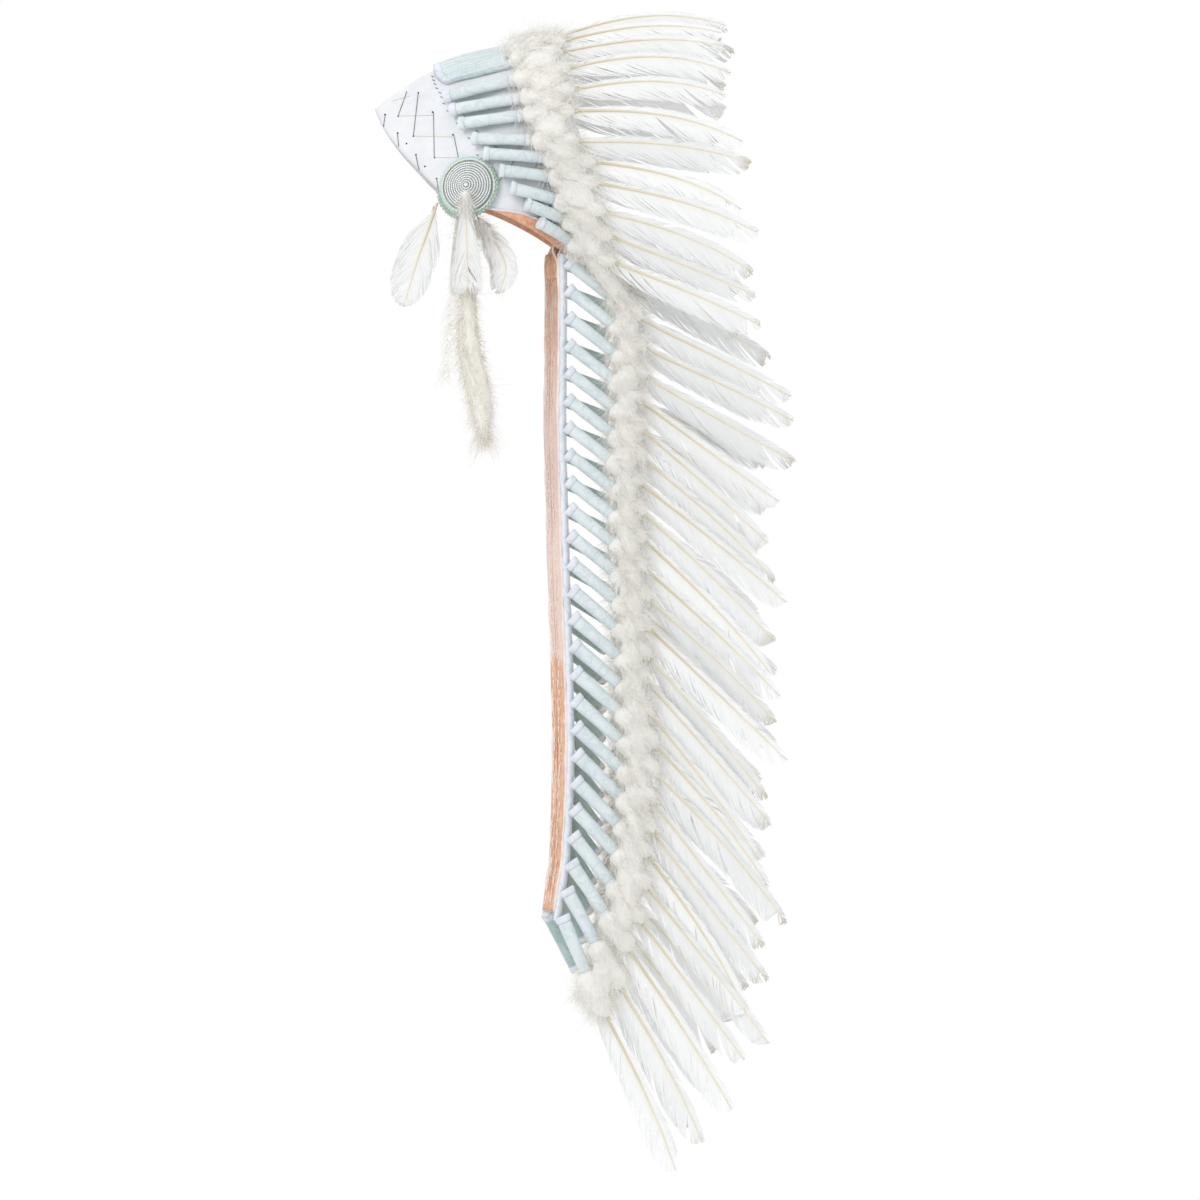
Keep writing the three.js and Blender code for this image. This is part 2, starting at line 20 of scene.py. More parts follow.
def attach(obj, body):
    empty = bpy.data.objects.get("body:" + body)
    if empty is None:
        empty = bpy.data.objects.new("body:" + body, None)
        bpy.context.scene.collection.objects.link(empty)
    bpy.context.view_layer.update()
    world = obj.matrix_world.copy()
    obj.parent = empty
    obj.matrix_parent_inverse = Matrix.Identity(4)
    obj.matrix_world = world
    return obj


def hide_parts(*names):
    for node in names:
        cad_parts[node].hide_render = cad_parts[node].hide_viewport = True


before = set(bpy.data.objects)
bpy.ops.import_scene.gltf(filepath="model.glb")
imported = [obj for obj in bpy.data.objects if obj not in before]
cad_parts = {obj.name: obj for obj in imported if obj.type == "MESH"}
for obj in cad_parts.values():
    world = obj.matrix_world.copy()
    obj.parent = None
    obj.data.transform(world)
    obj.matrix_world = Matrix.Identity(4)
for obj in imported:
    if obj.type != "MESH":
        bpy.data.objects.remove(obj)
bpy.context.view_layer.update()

Array = np.ndarray
Colour = tuple[float, float, float, float]
Rows = tuple[tuple[float, ...], ...]
Piece = bpy.types.Object
Socket = bpy.types.NodeSocket
LOG = logging.getLogger("headdress")
MM = 0.001
TURN = 2 * math.pi
GAP = 0.4
GLOSS = 0.3
FAR = 400.0


class Side(Enum):
    """A side of the wearer, with the sign of its Y."""

    LEFT = -1
    RIGHT = 1

    @property
    def word(self) -> str:
        """The side's name as the CAD nodes have it."""
        return self.name.lower()


def paint(red: float, green: float, blue: float) -> Colour:
    """Turns a screen colour into linear light.

    Args:
        red, green, blue: Screen values from 0 to 255.

    Returns:
        The colour with full alpha.
    """
    shares = np.array([red, green, blue]) / 255
    linear = np.where(shares > 0.04045, ((shares + 0.055) / 1.055) ** 2.4, shares / 12.92)
    return (*linear.tolist(), 1.0)


def unit(vectors: Array) -> Array:
    """Vectors at length one."""
    length = np.linalg.norm(vectors, axis=-1, keepdims=True)
    return vectors / np.maximum(length, 1e-9)


def mix(low: Array | float, high: Array | float, share: Array | float) -> Array | float:
    """A value at a share of the way from low to high."""
    return low + (high - low) * share


def dot(first: Array, second: Array) -> Array:
    """Dot products along the last axis, kept as a column."""
    return np.sum(first * second, axis=-1, keepdims=True)


def heading(plan: float, fall: float) -> Array:
    """The way at an angle round +Z and an angle below level, both in radians."""
    level = math.cos(fall)
    return np.array([level * math.cos(plan), level * math.sin(plan), -math.sin(fall)])


def catmull(knots: Array, shares: Array, closed: bool = False) -> Array:
    """Runs a centripetal curve through knots.

    Args:
        knots: Rows of values, one row a knot.
        shares: Places along the curve, 0 at the first knot and 1 at the end.
        closed: True if the curve comes back to its first knot.

    Returns:
        One row for each share.
    """
    count = len(knots)
    if closed:
        padded = np.concatenate([knots[-1:], knots, knots[:2]])
        spans = count
    else:
        before = 2 * knots[:1] - knots[1:2]
        after = 2 * knots[-1:] - knots[-2:-1]
        padded = np.concatenate([before, knots, after])
        spans = count - 1
    place = np.clip(shares, 0, 1) * spans
    first = np.minimum(place.astype(int), spans - 1)
    weight = (place - first)[:, None]
    p0, p1, p2, p3 = (padded[first + k] for k in range(4))
    gaps = [
        np.maximum(np.linalg.norm(b - a, axis=1, keepdims=True) ** 0.5, 1e-6)
        for a, b in ((p0, p1), (p1, p2), (p2, p3))
    ]
    g0, g1, g2 = gaps
    leave = ((p1 - p0) / g0 - (p2 - p0) / (g0 + g1) + (p2 - p1) / g1) * g1
    arrive = ((p2 - p1) / g1 - (p3 - p1) / (g1 + g2) + (p3 - p2) / g2) * g1
    square = -3 * p1 + 3 * p2 - 2 * leave - arrive
    cube = 2 * p1 - 2 * p2 + leave + arrive
    return p1 + leave * weight + square * weight**2 + cube * weight**3


# ------------------------------------------------------------------ finishes


@dataclass
class Nodes:
    """A node tree and a short way to add to it."""

    tree: bpy.types.NodeTree

    def add(self, kind: str, inputs: dict | None = None, **settings: object) -> bpy.types.Node:
        """Adds a node.

        Args:
            kind: The node's type name.
            inputs: Input name or number to a value, or to the socket that feeds it.
            settings: Properties of the node.

        Returns:
            The new node.
        """
        node = self.tree.nodes.new(kind)
        for key, value in settings.items():
            setattr(node, key, value)
        for key, value in (inputs or {}).items():
            if isinstance(value, Socket):
                self.tree.links.new(value, node.inputs[key])
            else:
                node.inputs[key].default_value = value
        return node

    def group(self, tree: bpy.types.NodeTree, **inputs: object) -> bpy.types.Node:
        """A group node fed with values and sockets by name."""
        return self.add("ShaderNodeGroup", inputs, node_tree=tree)

    def math(self, operation: str, first: object, second: object = 0.0) -> Socket:
        """The result of a Math node on two values or sockets."""
        return self.add("ShaderNodeMath", {0: first, 1: second}, operation=operation).outputs[0]

    def times(self, first: object, second: object) -> Socket:
        """The product of two values or sockets."""
        return self.math("MULTIPLY", first, second)

    def plus(self, first: object, second: object) -> Socket:
        """The sum of two values or sockets."""
        return self.math("ADD", first, second)

    def less(self, first: object, second: object) -> Socket:
        """The first value or socket less the second."""
        return self.math("SUBTRACT", first, second)

    def blend(self, share: object, low: object, high: object) -> Socket:
        """A colour mixed between two colours or colour sockets."""
        inputs = {0: share, 6: low, 7: high}
        return self.add("ShaderNodeMix", inputs, data_type="RGBA").outputs[2]

    def span(self, value: object, low: float, high: float) -> Socket:
        """A value spread so that low gives 0 and high gives 1, and held between them."""
        inputs = {"Value": value, "From Min": low, "From Max": high}
        return self.add("ShaderNodeMapRange", inputs, clamp=True).outputs[0]

    def noise(
        self, place: object, scale: object, detail: float = 2.0, **more: float
    ) -> Socket:
        """The value of a noise texture at a place."""
        inputs = {"Vector": place, "Scale": scale, "Detail": detail} | more
        return self.add("ShaderNodeTexNoise", inputs).outputs["Fac"]

    def uv(self) -> Socket:
        """The place on the UV map."""
        return self.add("ShaderNodeUVMap", uv_map="UVMap").outputs[0]

    def own_tone(self) -> Socket:
        """The tone that a batch gives each of its shapes."""
        return self.add("ShaderNodeAttribute", attribute_name="tone").outputs["Fac"]

    def split(self, place: object) -> Sequence[Socket]:
        """The three parts of a place."""
        return self.add("ShaderNodeSeparateXYZ", {0: place}).outputs


def shader_group(
    name: str,
    inputs: dict[str, float | None],
    outputs: Sequence[str],
    fill: Callable[[Nodes, bpy.types.bpy_prop_collection], dict],
) -> bpy.types.NodeTree:
    """Makes a shader node group once, and finds it again after that.

    Args:
        name: The group's name.
        inputs: Input name to its default number, or to None for a place.
        outputs: Names of the number outputs.
        fill: Given the tree and the group's inputs, returns the socket for each output.

    Returns:
        The group's node tree.
    """
    known = bpy.data.node_groups.get(name)
    if known:
        return known
    tree = bpy.data.node_groups.new(name, "ShaderNodeTree")
    for label, default in inputs.items():
        kind = "NodeSocketVector" if default is None else "NodeSocketFloat"
        socket = tree.interface.new_socket(label, in_out="INPUT", socket_type=kind)
        if default is not None:
            socket.default_value = default
    for label in outputs:
        tree.interface.new_socket(label, in_out="OUTPUT", socket_type="NodeSocketFloat")
    nodes = Nodes(tree)
    made = fill(nodes, nodes.add("NodeGroupInput").outputs)
    nodes.add("NodeGroupOutput", made)
    return tree


def mottle_group() -> bpy.types.NodeTree:
    """The group for soft patches of tone: coarse ones with finer ones on them."""

    def fill(nodes: Nodes, given: bpy.types.bpy_prop_collection) -> dict:
        """Two scales of noise, added."""
        finer = nodes.times(given["Scale"], 5.3)
        coarse = nodes.noise(given["Place"], given["Scale"], 3.0)
        fine = nodes.noise(given["Place"], finer, 4.0)
        both = nodes.plus(nodes.times(coarse, 0.65), nodes.times(fine, 0.35))
        return {"Mask": nodes.span(both, 0.36, 0.64)}

    return shader_group("soft patches", {"Place": None, "Scale": 40}, ["Mask"], fill)


def grain_group() -> bpy.types.NodeTree:
    """The group for the grain of a hide: fine cells, pores and soft creases."""

    def fill(nodes: Nodes, given: bpy.types.bpy_prop_collection) -> dict:
        """Cells, pores and creases summed to a height."""
        place, scale = given["Place"], given["Scale"]
        inputs = {"Vector": place, "Scale": scale}
        cells = nodes.add("ShaderNodeTexVoronoi", inputs, feature="SMOOTH_F1")
        creases = nodes.noise(place, nodes.times(scale, 0.12), 5.0, Distortion=1.2)
        tall = nodes.times(creases, given["Creases"])
        return {"Height": nodes.plus(cells.outputs["Distance"], tall)}

    inputs = {"Place": None, "Scale": 900, "Creases": 2}
    return shader_group("hide grain", inputs, ["Height"], fill)


def weave_group() -> bpy.types.NodeTree:
    """The group for a plain weave on a UV map in millimetres."""

    def fill(nodes: Nodes, given: bpy.types.bpy_prop_collection) -> dict:
        """Warp and weft threads that pass over and under each other by turns."""
        parts = nodes.split(given["Place"])
        waves = []
        for axis in (0, 1):
            turns = nodes.times(parts[axis], math.pi)
            waves.append(nodes.math("SINE", nodes.math("DIVIDE", turns, given["Pitch"])))
        warp, weft = (nodes.math("ABSOLUTE", wave) for wave in waves)
        over = nodes.span(nodes.times(*waves), -0.15, 0.15)
        under = nodes.less(1.0, over)
        height = nodes.plus(nodes.times(warp, over), nodes.times(weft, under))
        return {"Height": height, "Over": over}

    return shader_group("plain weave", {"Place": None, "Pitch": 0.7}, ["Height", "Over"], fill)


@dataclass(frozen=True)
class Finish:
    """A surface finish, mottled between two colours, with a fine relief.

    Its subclasses add the pattern of their own stuff.
    """

    name: str
    light: Colour
    dark: Colour
    patches: float = 45
    roughness: float = 0.8
    relief: float = 0.3
    depth: float = 0.0004
    sheen: float = 0.0

    def tone(self, nodes: Nodes, place: Socket) -> Socket:
        """The mottled colour."""
        mask = nodes.group(mottle_group(), Place=place, Scale=self.patches)
        return nodes.blend(mask.outputs["Mask"], self.dark, self.light)

    def pattern(self, nodes: Nodes, place: Socket) -> dict:
        """The sockets for Base Color and Height, and for Metallic if it varies."""
        height = nodes.noise(place, 700.0, 3.0)
        return {"Base Color": self.tone(nodes, place), "Height": height}

    def material(self) -> bpy.types.Material:
        """Builds the finish's material once, and finds it again after that.

        Returns:
            The material, named after the finish.
        """
        known = bpy.data.materials.get(self.name)
        if known:
            return known
        made = bpy.data.materials.new(self.name)
        made.use_nodes = True
        made.node_tree.nodes.clear()
        nodes = Nodes(made.node_tree)
        sockets = self.pattern(nodes, nodes.add("ShaderNodeTexCoord").outputs["Object"])
        inputs = {"Roughness": self.roughness, "Sheen Weight": self.sheen}
        shader = nodes.add("ShaderNodeBsdfPrincipled", {"Specular IOR Level": GLOSS} | inputs)
        height = sockets.pop("Height")
        for key, socket in sockets.items():
            nodes.tree.links.new(socket, shader.inputs[key])
        inputs = {"Height": height, "Strength": self.relief, "Distance": self.depth}
        bump = nodes.add("ShaderNodeBump", inputs)
        nodes.tree.links.new(bump.outputs[0], shader.inputs["Normal"])
        nodes.add("ShaderNodeOutputMaterial", {"Surface": shader.outputs[0]})
        return made


@dataclass(frozen=True)
class Hide(Finish):
    """Tanned hide, with grain and soft creases. Suede has a stronger mottling and no gloss."""

    grain: float = 1100
    creases: float = 2.5

    def pattern(self, nodes: Nodes, place: Socket) -> dict:
        """Mottled colour and the grain's height."""
        grain = nodes.group(grain_group(), Place=place, Scale=self.grain, Creases=self.creases)
        return {"Base Color": self.tone(nodes, place), "Height": grain.outputs["Height"]}


@dataclass(frozen=True)
class FadedHide(Hide):
    """Suede that is bleached over a stretch of its height."""

    bleached: Colour = paint(242, 220, 211)
    rubbed: Colour = paint(247, 231, 222)
    top: float = -0.165
    bottom: float = -0.487
    soft: float = 0.07

    def tone(self, nodes: Nodes, place: Socket) -> Socket:
        """The mottled colour, and the bleached one between two heights."""
        tone = super().tone(nodes, place)
        height = nodes.split(place)[2]
        noise = nodes.noise(place, 60.0, 4.0)
        moved = nodes.plus(height, nodes.times(nodes.less(noise, 0.5), 0.05))
        above = nodes.span(moved, self.top + self.soft, self.top - self.soft)
        sharp = self.soft / 10
        below = nodes.span(moved, self.bottom - sharp, self.bottom + sharp)
        share = nodes.times(nodes.times(above, below), 0.9)
        tall = nodes.add("ShaderNodeMapping", {"Vector": place, "Scale": (1.0, 1.0, 0.07)})
        streaks = nodes.noise(tall.outputs[0], 420.0, 4.0)
        rubbed = nodes.times(nodes.span(streaks, 0.5, 0.66), 0.6)
        faded = nodes.blend(share, tone, self.bleached)
        return nodes.blend(rubbed, faded, self.rubbed)


@dataclass(frozen=True)
class Cloth(Finish):
    """Plain woven cloth on a UV map in millimetres, with flecks of tone and soft creases, which are
    dips in the relief with painted shade along them.
    """

    pitch: float = 0.75
    fleck: Colour = paint(211, 228, 230)
    # Painted shade along the creases: how strong it is, and its colour.
    crease_shade: float = 0.3
    crease: Colour = paint(180, 200, 208)

    def pattern(self, nodes: Nodes, place: Socket) -> dict:
        """Thread tones over the mottling, and the weave's height."""
        uv = nodes.uv()
        weave = nodes.group(weave_group(), Place=uv, Pitch=self.pitch)
        slubs = nodes.noise(uv, 1.6, 5.0)
        share = nodes.times(weave.outputs["Over"], nodes.span(slubs, 0.38, 0.66))
        share = nodes.times(share, 0.75)
        folds = nodes.noise(place, 55.0, Distortion=0.9)
        crease = nodes.span(nodes.math("ABSOLUTE", nodes.less(folds, 0.5)), 0.0, 0.045)
        height = nodes.plus(weave.outputs["Height"], slubs)
        # Painted shade: the colour darkens towards the crease colour along each fold line, which
        # the bump also sinks.
        dark = nodes.times(nodes.less(1.0, crease), self.crease_shade)
        cloth = nodes.blend(share, self.tone(nodes, place), self.fleck)
        return {
            "Base Color": nodes.blend(dark, cloth, self.crease),
            "Height": nodes.plus(height, nodes.times(crease, 2.0)),
        }


@dataclass(frozen=True)
class LinedCloth(Cloth):
    """Woven cloth with fine coloured lines along it."""

    line_pitch: float = 4.75
    line: Colour = paint(188, 212, 196)

    def pattern(self, nodes: Nodes, place: Socket) -> dict:
        """The weave, with a line at every pitch across."""
        made = super().pattern(nodes, place)
        turns = nodes.times(nodes.split(nodes.uv())[0], TURN / self.line_pitch)
        share = nodes.times(nodes.span(nodes.math("COSINE", turns), 0.7, 0.98), 0.8)
        made["Base Color"] = nodes.blend(share, made["Base Color"], self.line)
        return made


@dataclass(frozen=True)
class Vane(Finish):
    """A feather's vane. Its UV map runs from the shaft outwards and from the foot to the tip."""

    near_shaft: Colour = paint(240, 235, 220)
    worn_tip: Colour = paint(184, 172, 152)

    def pattern(self, nodes: Nodes, place: Socket) -> dict:
        """White barbs, creamier by the shaft, with a worn tip and the feather's own tone."""
        uv = nodes.uv()
        outwards, along, _ = nodes.split(uv)
        own = nodes.own_tone()
        tall = nodes.add("ShaderNodeMapping", {"Vector": uv, "Scale": (1.2, 55.0, 1.0)})
        streaks = nodes.noise(tall.outputs[0], 3.0, 4.0)
        share = nodes.plus(nodes.times(own, 0.6), nodes.times(streaks, 0.4))
        base = nodes.blend(nodes.span(share, 0.2, 0.75), self.dark, self.light)
        by_shaft = nodes.times(nodes.span(outwards, 0.28, 0.0), 0.55)
        creamy = nodes.blend(by_shaft, base, self.near_shaft)
        late = nodes.span(along, 0.91, 1.0)
        worn = nodes.times(nodes.times(late, nodes.span(own, 0.6, 0.2)), 0.75)
        return {"Base Color": nodes.blend(worn, creamy, self.worn_tip), "Height": streaks}


@dataclass(frozen=True)
class Rachis(Finish):
    """A feather's shaft, tan by the foot and white at the tip. Its UV map's V runs along it."""

    foot: Colour = paint(212, 198, 168)

    def pattern(self, nodes: Nodes, place: Socket) -> dict:
        """The mottled colour, with the tan foot fading out of it."""
        along = nodes.split(nodes.uv())[1]
        own = nodes.own_tone()
        share = nodes.times(nodes.span(along, 0.75, 0.0), nodes.span(own, 0.0, 0.8))
        height = nodes.noise(place, 400.0)
        colour = nodes.blend(share, self.tone(nodes, place), self.foot)
        return {"Base Color": colour, "Height": height}


@dataclass(frozen=True)
class Down(Finish):
    """Down and fur. Its UV map runs from the root of a strand to its tip."""

    # The colour of the painted shade at the roots of the strands, deep in the down.
    root: Colour = paint(232, 228, 218)

    def pattern(self, nodes: Nodes, place: Socket) -> dict:
        """Strands in soft patches, each with its own tone, with painted shade that darkens them
        towards the root.
        """
        along = nodes.split(nodes.uv())[0]
        own = nodes.own_tone()
        patched = nodes.blend(nodes.times(own, 0.5), self.tone(nodes, place), self.light)
        # Painted shade: the colour darkens towards the root colour where the UV's first value is
        # low, at the roots deep in the down.
        deep = nodes.span(along, 0.6, 0.0)
        colour = nodes.blend(nodes.times(deep, 0.5), patched, self.root)
        fuzz = nodes.noise(place, 480.0, 5.0, Roughness=0.7)
        tufts = nodes.noise(place, 130.0, Distortion=1.0)
        return {"Base Color": colour, "Height": nodes.plus(fuzz, nodes.times(tufts, 1.6))}


@dataclass(frozen=True)
class Bead(Finish):
    """Pearly beads, each with its own tone; on the rosettes that tone also holds painted shade."""

    metallic: float = 0.35

    def pattern(self, nodes: Nodes, place: Socket) -> dict:
        """A tone for each bead, and a metallic sheen that varies with it."""
        own = nodes.own_tone()
        height = nodes.noise(place, 240.0)
        shine = nodes.times(nodes.span(own, 0.0, 1.0), self.metallic * 2)
        colour = nodes.blend(own, self.dark, self.light)
        return {"Base Color": colour, "Metallic": shine, "Height": height}


WHITE_HIDE = Hide("white hide", paint(237, 239, 242), paint(225, 227, 232), 28, 0.62, 0.22, 0.0005)
CUT_EDGE = Hide("cut hide edge", paint(250, 238, 234), paint(238, 220, 212), 90, 0.85, 0.4, 0.0004)
SUEDE = Hide("tan suede", paint(242, 194, 164), paint(214, 154, 122), 170, 0.95, 0.7, 0.0006, 0.25)
STRIP_SUEDE = FadedHide(
    "trailer suede", paint(242, 200, 170), paint(218, 168, 136), 150, 0.95, 0.8, 0.0008, 0.25
)
WRAP_CLOTH = Cloth(
    "blue green cloth", paint(240, 247, 249), paint(225, 236, 240), 60, 0.85, 0.5, 0.0004, 0.2
)
PANEL_CLOTH = LinedCloth(
    "lined cloth", paint(238, 246, 249), paint(225, 236, 241), 60, 0.85, 0.5, 0.0004, 0.2
)
TAPE = Cloth(
    "lavender tape", paint(242, 244, 250), paint(230, 235, 243), 90, 0.85, 0.5, 0.0003, 0.2,
    pitch=0.9, fleck=paint(234, 239, 247),
)
# Painted shade: a darker copy of the wrap cloth for the inner sides of the quill wraps, which face
# away from the light.
SHADED_INNER_CLOTH = Cloth(
    "deep teal cloth", paint(198, 218, 215), paint(168, 194, 191), 60, 0.85, 0.5, 0.0004, 0.2,
    fleck=paint(208, 226, 224), crease=paint(148, 174, 172),
)
SEAM = Finish("seam shade", paint(212, 220, 229), paint(194, 204, 216), 200, 0.9, 0.4, 0.0002)
SINEW = Finish("cream sinew", paint(240, 232, 204), paint(218, 206, 170), 160, 0.6, 0.4, 0.0003)
VANE = Vane("feather vane", paint(248, 249, 249), paint(236, 238, 239), 40, 0.55, 0.25, 0.0003)
SHAFT = Rachis("feather shaft", paint(243, 238, 224), paint(231, 223, 205), 60, 0.4, 0.2, 0.0003)
DOWN = Down("ivory down", paint(251, 250, 246), paint(242, 240, 233), 45, 0.95, 0.75, 0.0012)
FUR = Down("ivory fur", paint(250, 248, 242), paint(238, 233, 223), 50, 0.95, 0.75, 0.0012)
FELT = Finish("mint felt", paint(206, 230, 220), paint(178, 212, 199), 180, 0.95, 0.8, 0.0005, 0.5)
BEADS = Bead("pearly beads", paint(252, 252, 252), paint(222, 228, 228), 120, 0.28, 0.15, 0.0002)
BACKING = Finish("grey backing", paint(150, 162, 160), paint(116, 130, 128), 200, 0.8, 0.3, 0.0003)
TIE = Finish("tan tie", paint(230, 222, 196), paint(206, 197, 166), 300, 0.8, 0.5, 0.0003)
DARK_THREAD = Finish("dark thread", paint(146, 140, 128), paint(98, 94, 86), 300, 0.7, 0.5, 0.0002)
# Painted shade inside the awl holes, put on as dark plugs.
AWL_HOLE_SHADE = Finish("awl hole", paint(58, 52, 48), paint(28, 26, 26), 300, 0.95, 0.3, 0.0002)
PALE_THREAD = Finish(
    "pale thread", paint(226, 222, 206), paint(204, 198, 178), 300, 0.7, 0.5, 0.0002
)
WHITE_THREAD = Finish(
    "white thread", paint(252, 249, 245), paint(236, 231, 224), 300, 0.7, 0.5, 0.0002
)
PALE_FLOOR = Finish("pale floor", paint(250, 250, 250), paint(246, 246, 246), 3, 0.9, 0.05)
WRAP_FINISHES = (WRAP_CLOTH, TAPE, SINEW, SEAM, SHADED_INNER_CLOTH)


# ------------------------------------------------------------------ modelling helpers


def fresh_start() -> None:
    """Leaves edit mode and deselects everything, so that the next operator starts afresh."""
    if bpy.context.object and bpy.context.object.mode != "OBJECT":
        bpy.ops.object.mode_set(mode="OBJECT")
    bpy.ops.object.select_all(action="DESELECT")


def take_up(piece: Piece) -> None:
    """Makes a piece the active one, and the only one selected."""
    fresh_start()
    piece.select_set(True)
    bpy.context.view_layer.objects.active = piece


def read(
    rows: bpy.types.bpy_prop_collection, key: str, width: int = 1, kind: type = np.float32
) -> Array:
    """One property of all of a mesh's points, corners or faces, as rows if it is wider than one."""
    values = np.empty(len(rows) * width, kind)
    rows.foreach_get(key, values)
    return values.reshape(-1, width) if width > 1 else values


def coordinates(mesh: bpy.types.Mesh) -> Array:
    """The mesh's points as rows."""
    return read(mesh.vertices, "co", 3).astype(float)


def move_points(mesh: bpy.types.Mesh, points: Array) -> None:
    """Puts the mesh's points at new places."""
    mesh.vertices.foreach_set("co", points.astype(np.float32).ravel())
    mesh.update()


def corner_values(mesh: bpy.types.Mesh) -> Array:
    """The UV place of each face corner as rows."""
    return read(mesh.uv_layers.active.data, "uv", 2)


def face_centres(mesh: bpy.types.Mesh) -> Array:
    """The middle of each face as rows."""
    return read(mesh.polygons, "center", 3)


def face_uvs(mesh: bpy.types.Mesh) -> Array:
    """The middle of each face on the UV map as rows."""
    starts = read(mesh.polygons, "loop_start", kind=np.int32)
    totals = read(mesh.polygons, "loop_total", kind=np.int32)
    return np.add.reduceat(corner_values(mesh), starts, axis=0) / totals[:, None]


def in_edit_mode(piece: Piece, *steps: Callable[[], object]) -> None:
    """Runs operators on all of a piece in edit mode.

    Args:
        piece: The piece to work on.
        steps: Calls of operators, in order.
    """
    take_up(piece)
    bpy.ops.object.mode_set(mode="EDIT")
    bpy.ops.mesh.select_all(action="SELECT")
    for step in steps:
        step()
    bpy.ops.object.mode_set(mode="OBJECT")


def close_up() -> None:
    """Fills the holes of the piece in edit mode and turns its faces outwards."""
    bpy.ops.mesh.select_all(action="SELECT")
    bpy.ops.mesh.fill_holes(sides=0)
    bpy.ops.mesh.select_all(action="SELECT")
    bpy.ops.mesh.normals_make_consistent(inside=False)


def face_towards(piece: Piece, ways: Array) -> None:
    """Turns a piece's faces over if they look against a way, or against one for each face."""
    if np.sum(read(piece.data.polygons, "normal", 3) * ways) < 0:
        in_edit_mode(piece, bpy.ops.mesh.flip_normals)


def face_away(piece: Piece, inside: Array) -> None:
    """Turns a piece's faces away from a place inside it, in metres."""
    face_towards(piece, face_centres(piece.data) - inside)


def laid_grid(
    name: str,
    columns: int,
    rows: int,
    place: Callable[[Array, Array], Array],
    wrapped: bool = False,
) -> Piece:
    """Adds a grid and lays each of its points where a function says.

    Args:
        name: The piece's name.
        columns: Steps across.
        rows: Steps along.
        place: Gives places in millimetres from shares across and along.
        wrapped: True if the last column meets the first.

    Returns:
        The piece, with its UV map running from 0 to 1 both ways.
    """
    fresh_start()
    bpy.ops.mesh.primitive_grid_add(x_subdivisions=columns, y_subdivisions=rows, size=1)
    piece = bpy.context.object
    piece.name = piece.data.name = name
    flat = coordinates(piece.data) + 0.5
    move_points(piece.data, place(flat[:, 0], flat[:, 1]) * MM)
    steps = [lambda: bpy.ops.mesh.remove_doubles(threshold=1e-6)]
    in_edit_mode(piece, *steps, *([close_up] if wrapped else []))
    return piece


def thicken(piece: Piece, wall: float, rim_part: int = 0, inner_part: int = 0) -> None:
    """Gives an open piece a wall towards its inside.

    Args:
        piece: The piece, with its faces outwards.
        wall: The wall's thickness in millimetres.
        rim_part: Which finish the rim takes.
        inner_part: Which finish the inside takes.
    """
    take_up(piece)
    wall_maker = piece.modifiers.new("wall", "SOLIDIFY")
    wall_maker.thickness = wall * MM
    wall_maker.offset = -1
    wall_maker.use_even_offset = True
    wall_maker.material_offset = inner_part
    wall_maker.material_offset_rim = rim_part
    bpy.ops.object.modifier_apply(modifier="wall")


def scale_uvs(piece: Piece, across: float, along: float) -> None:
    """Makes a UV map that runs from 0 to 1 run in millimetres."""
    uvs = corner_values(piece.data) * np.array([across, along], np.float32)
    piece.data.uv_layers.active.data.foreach_set("uv", uvs.ravel())


def turned(sides: int, rows: Sequence[tuple[float, float]]) -> Piece:
    """Models a round piece: a filled circle is extruded and resized from row to row along +Z.

    Args:
        sides: Points round it.
        rows: Height and radius of each ring, in millimetres.

    Returns:
        The piece, as large in metres as its rows are in millimetres.
    """
    fresh_start()
    bpy.ops.mesh.primitive_circle_add(vertices=sides, radius=rows[0][1], fill_type="NGON")
    piece = bpy.context.object
    steps = [lambda: bpy.ops.transform.translate(value=(0, 0, rows[0][0]))]
    for (low, narrow), (high, wide) in pairwise(rows):
        move = {"value": (0, 0, high - low)}
        grow = (wide / narrow, wide / narrow, 1)
        centre = (0, 0, high)
        steps.append(lambda m=move: bpy.ops.mesh.extrude_region_move(TRANSFORM_OT_translate=m))
        steps.append(lambda g=grow, c=centre: bpy.ops.transform.resize(value=g, center_override=c))
    in_edit_mode(piece, *steps, close_up)
    return piece


def wheel(first: Array, second: Array, sides: int) -> tuple[Array, Array]:
    """The angles of the spokes round a line, and the spokes at each of its stations."""
    angle = np.arange(sides) / sides * TURN
    spokes = first[:, None] * np.cos(angle)[:, None] + second[:, None] * np.sin(angle)[:, None]
    return angle, spokes


@dataclass
class Pattern:
    """A small shape that is modelled once and copied many times."""

    points: Array
    corners: Array
    sizes: Array
    uvs: Array
    parts: Array

    @classmethod
    def of(
        cls, piece: Piece, part_of: Callable[[Array], Array] | None = None
    ) -> "Pattern":
        """Takes the shape of a piece that was modelled at the origin, and deletes the piece.

        Args:
            piece: The piece, as large in metres as it is to be in millimetres.
            part_of: Gives the finish number of each face from the faces' middles.

        Returns:
            The pattern, with a UV map wrapped round +Z in millimetres.
        """
        mesh = piece.data
        corners = read(mesh.loops, "vertex_index", kind=np.int32)
        sizes = read(mesh.polygons, "loop_total", kind=np.int32)
        points = coordinates(mesh)
        centres = face_centres(mesh)
        angle = np.arctan2(points[:, 1], points[:, 0])[corners]
        middle = np.repeat(np.arctan2(centres[:, 1], centres[:, 0]), sizes)
        angle = middle + (angle - middle + math.pi) % TURN - math.pi
        radius = np.linalg.norm(points[:, :2], axis=1).max()
        uvs = np.stack([angle * radius, points[corners, 2]], -1)
        parts = part_of(centres) if part_of else np.zeros(len(sizes), int)
        bpy.data.objects.remove(piece)
        return cls(points, corners, sizes, uvs, parts)


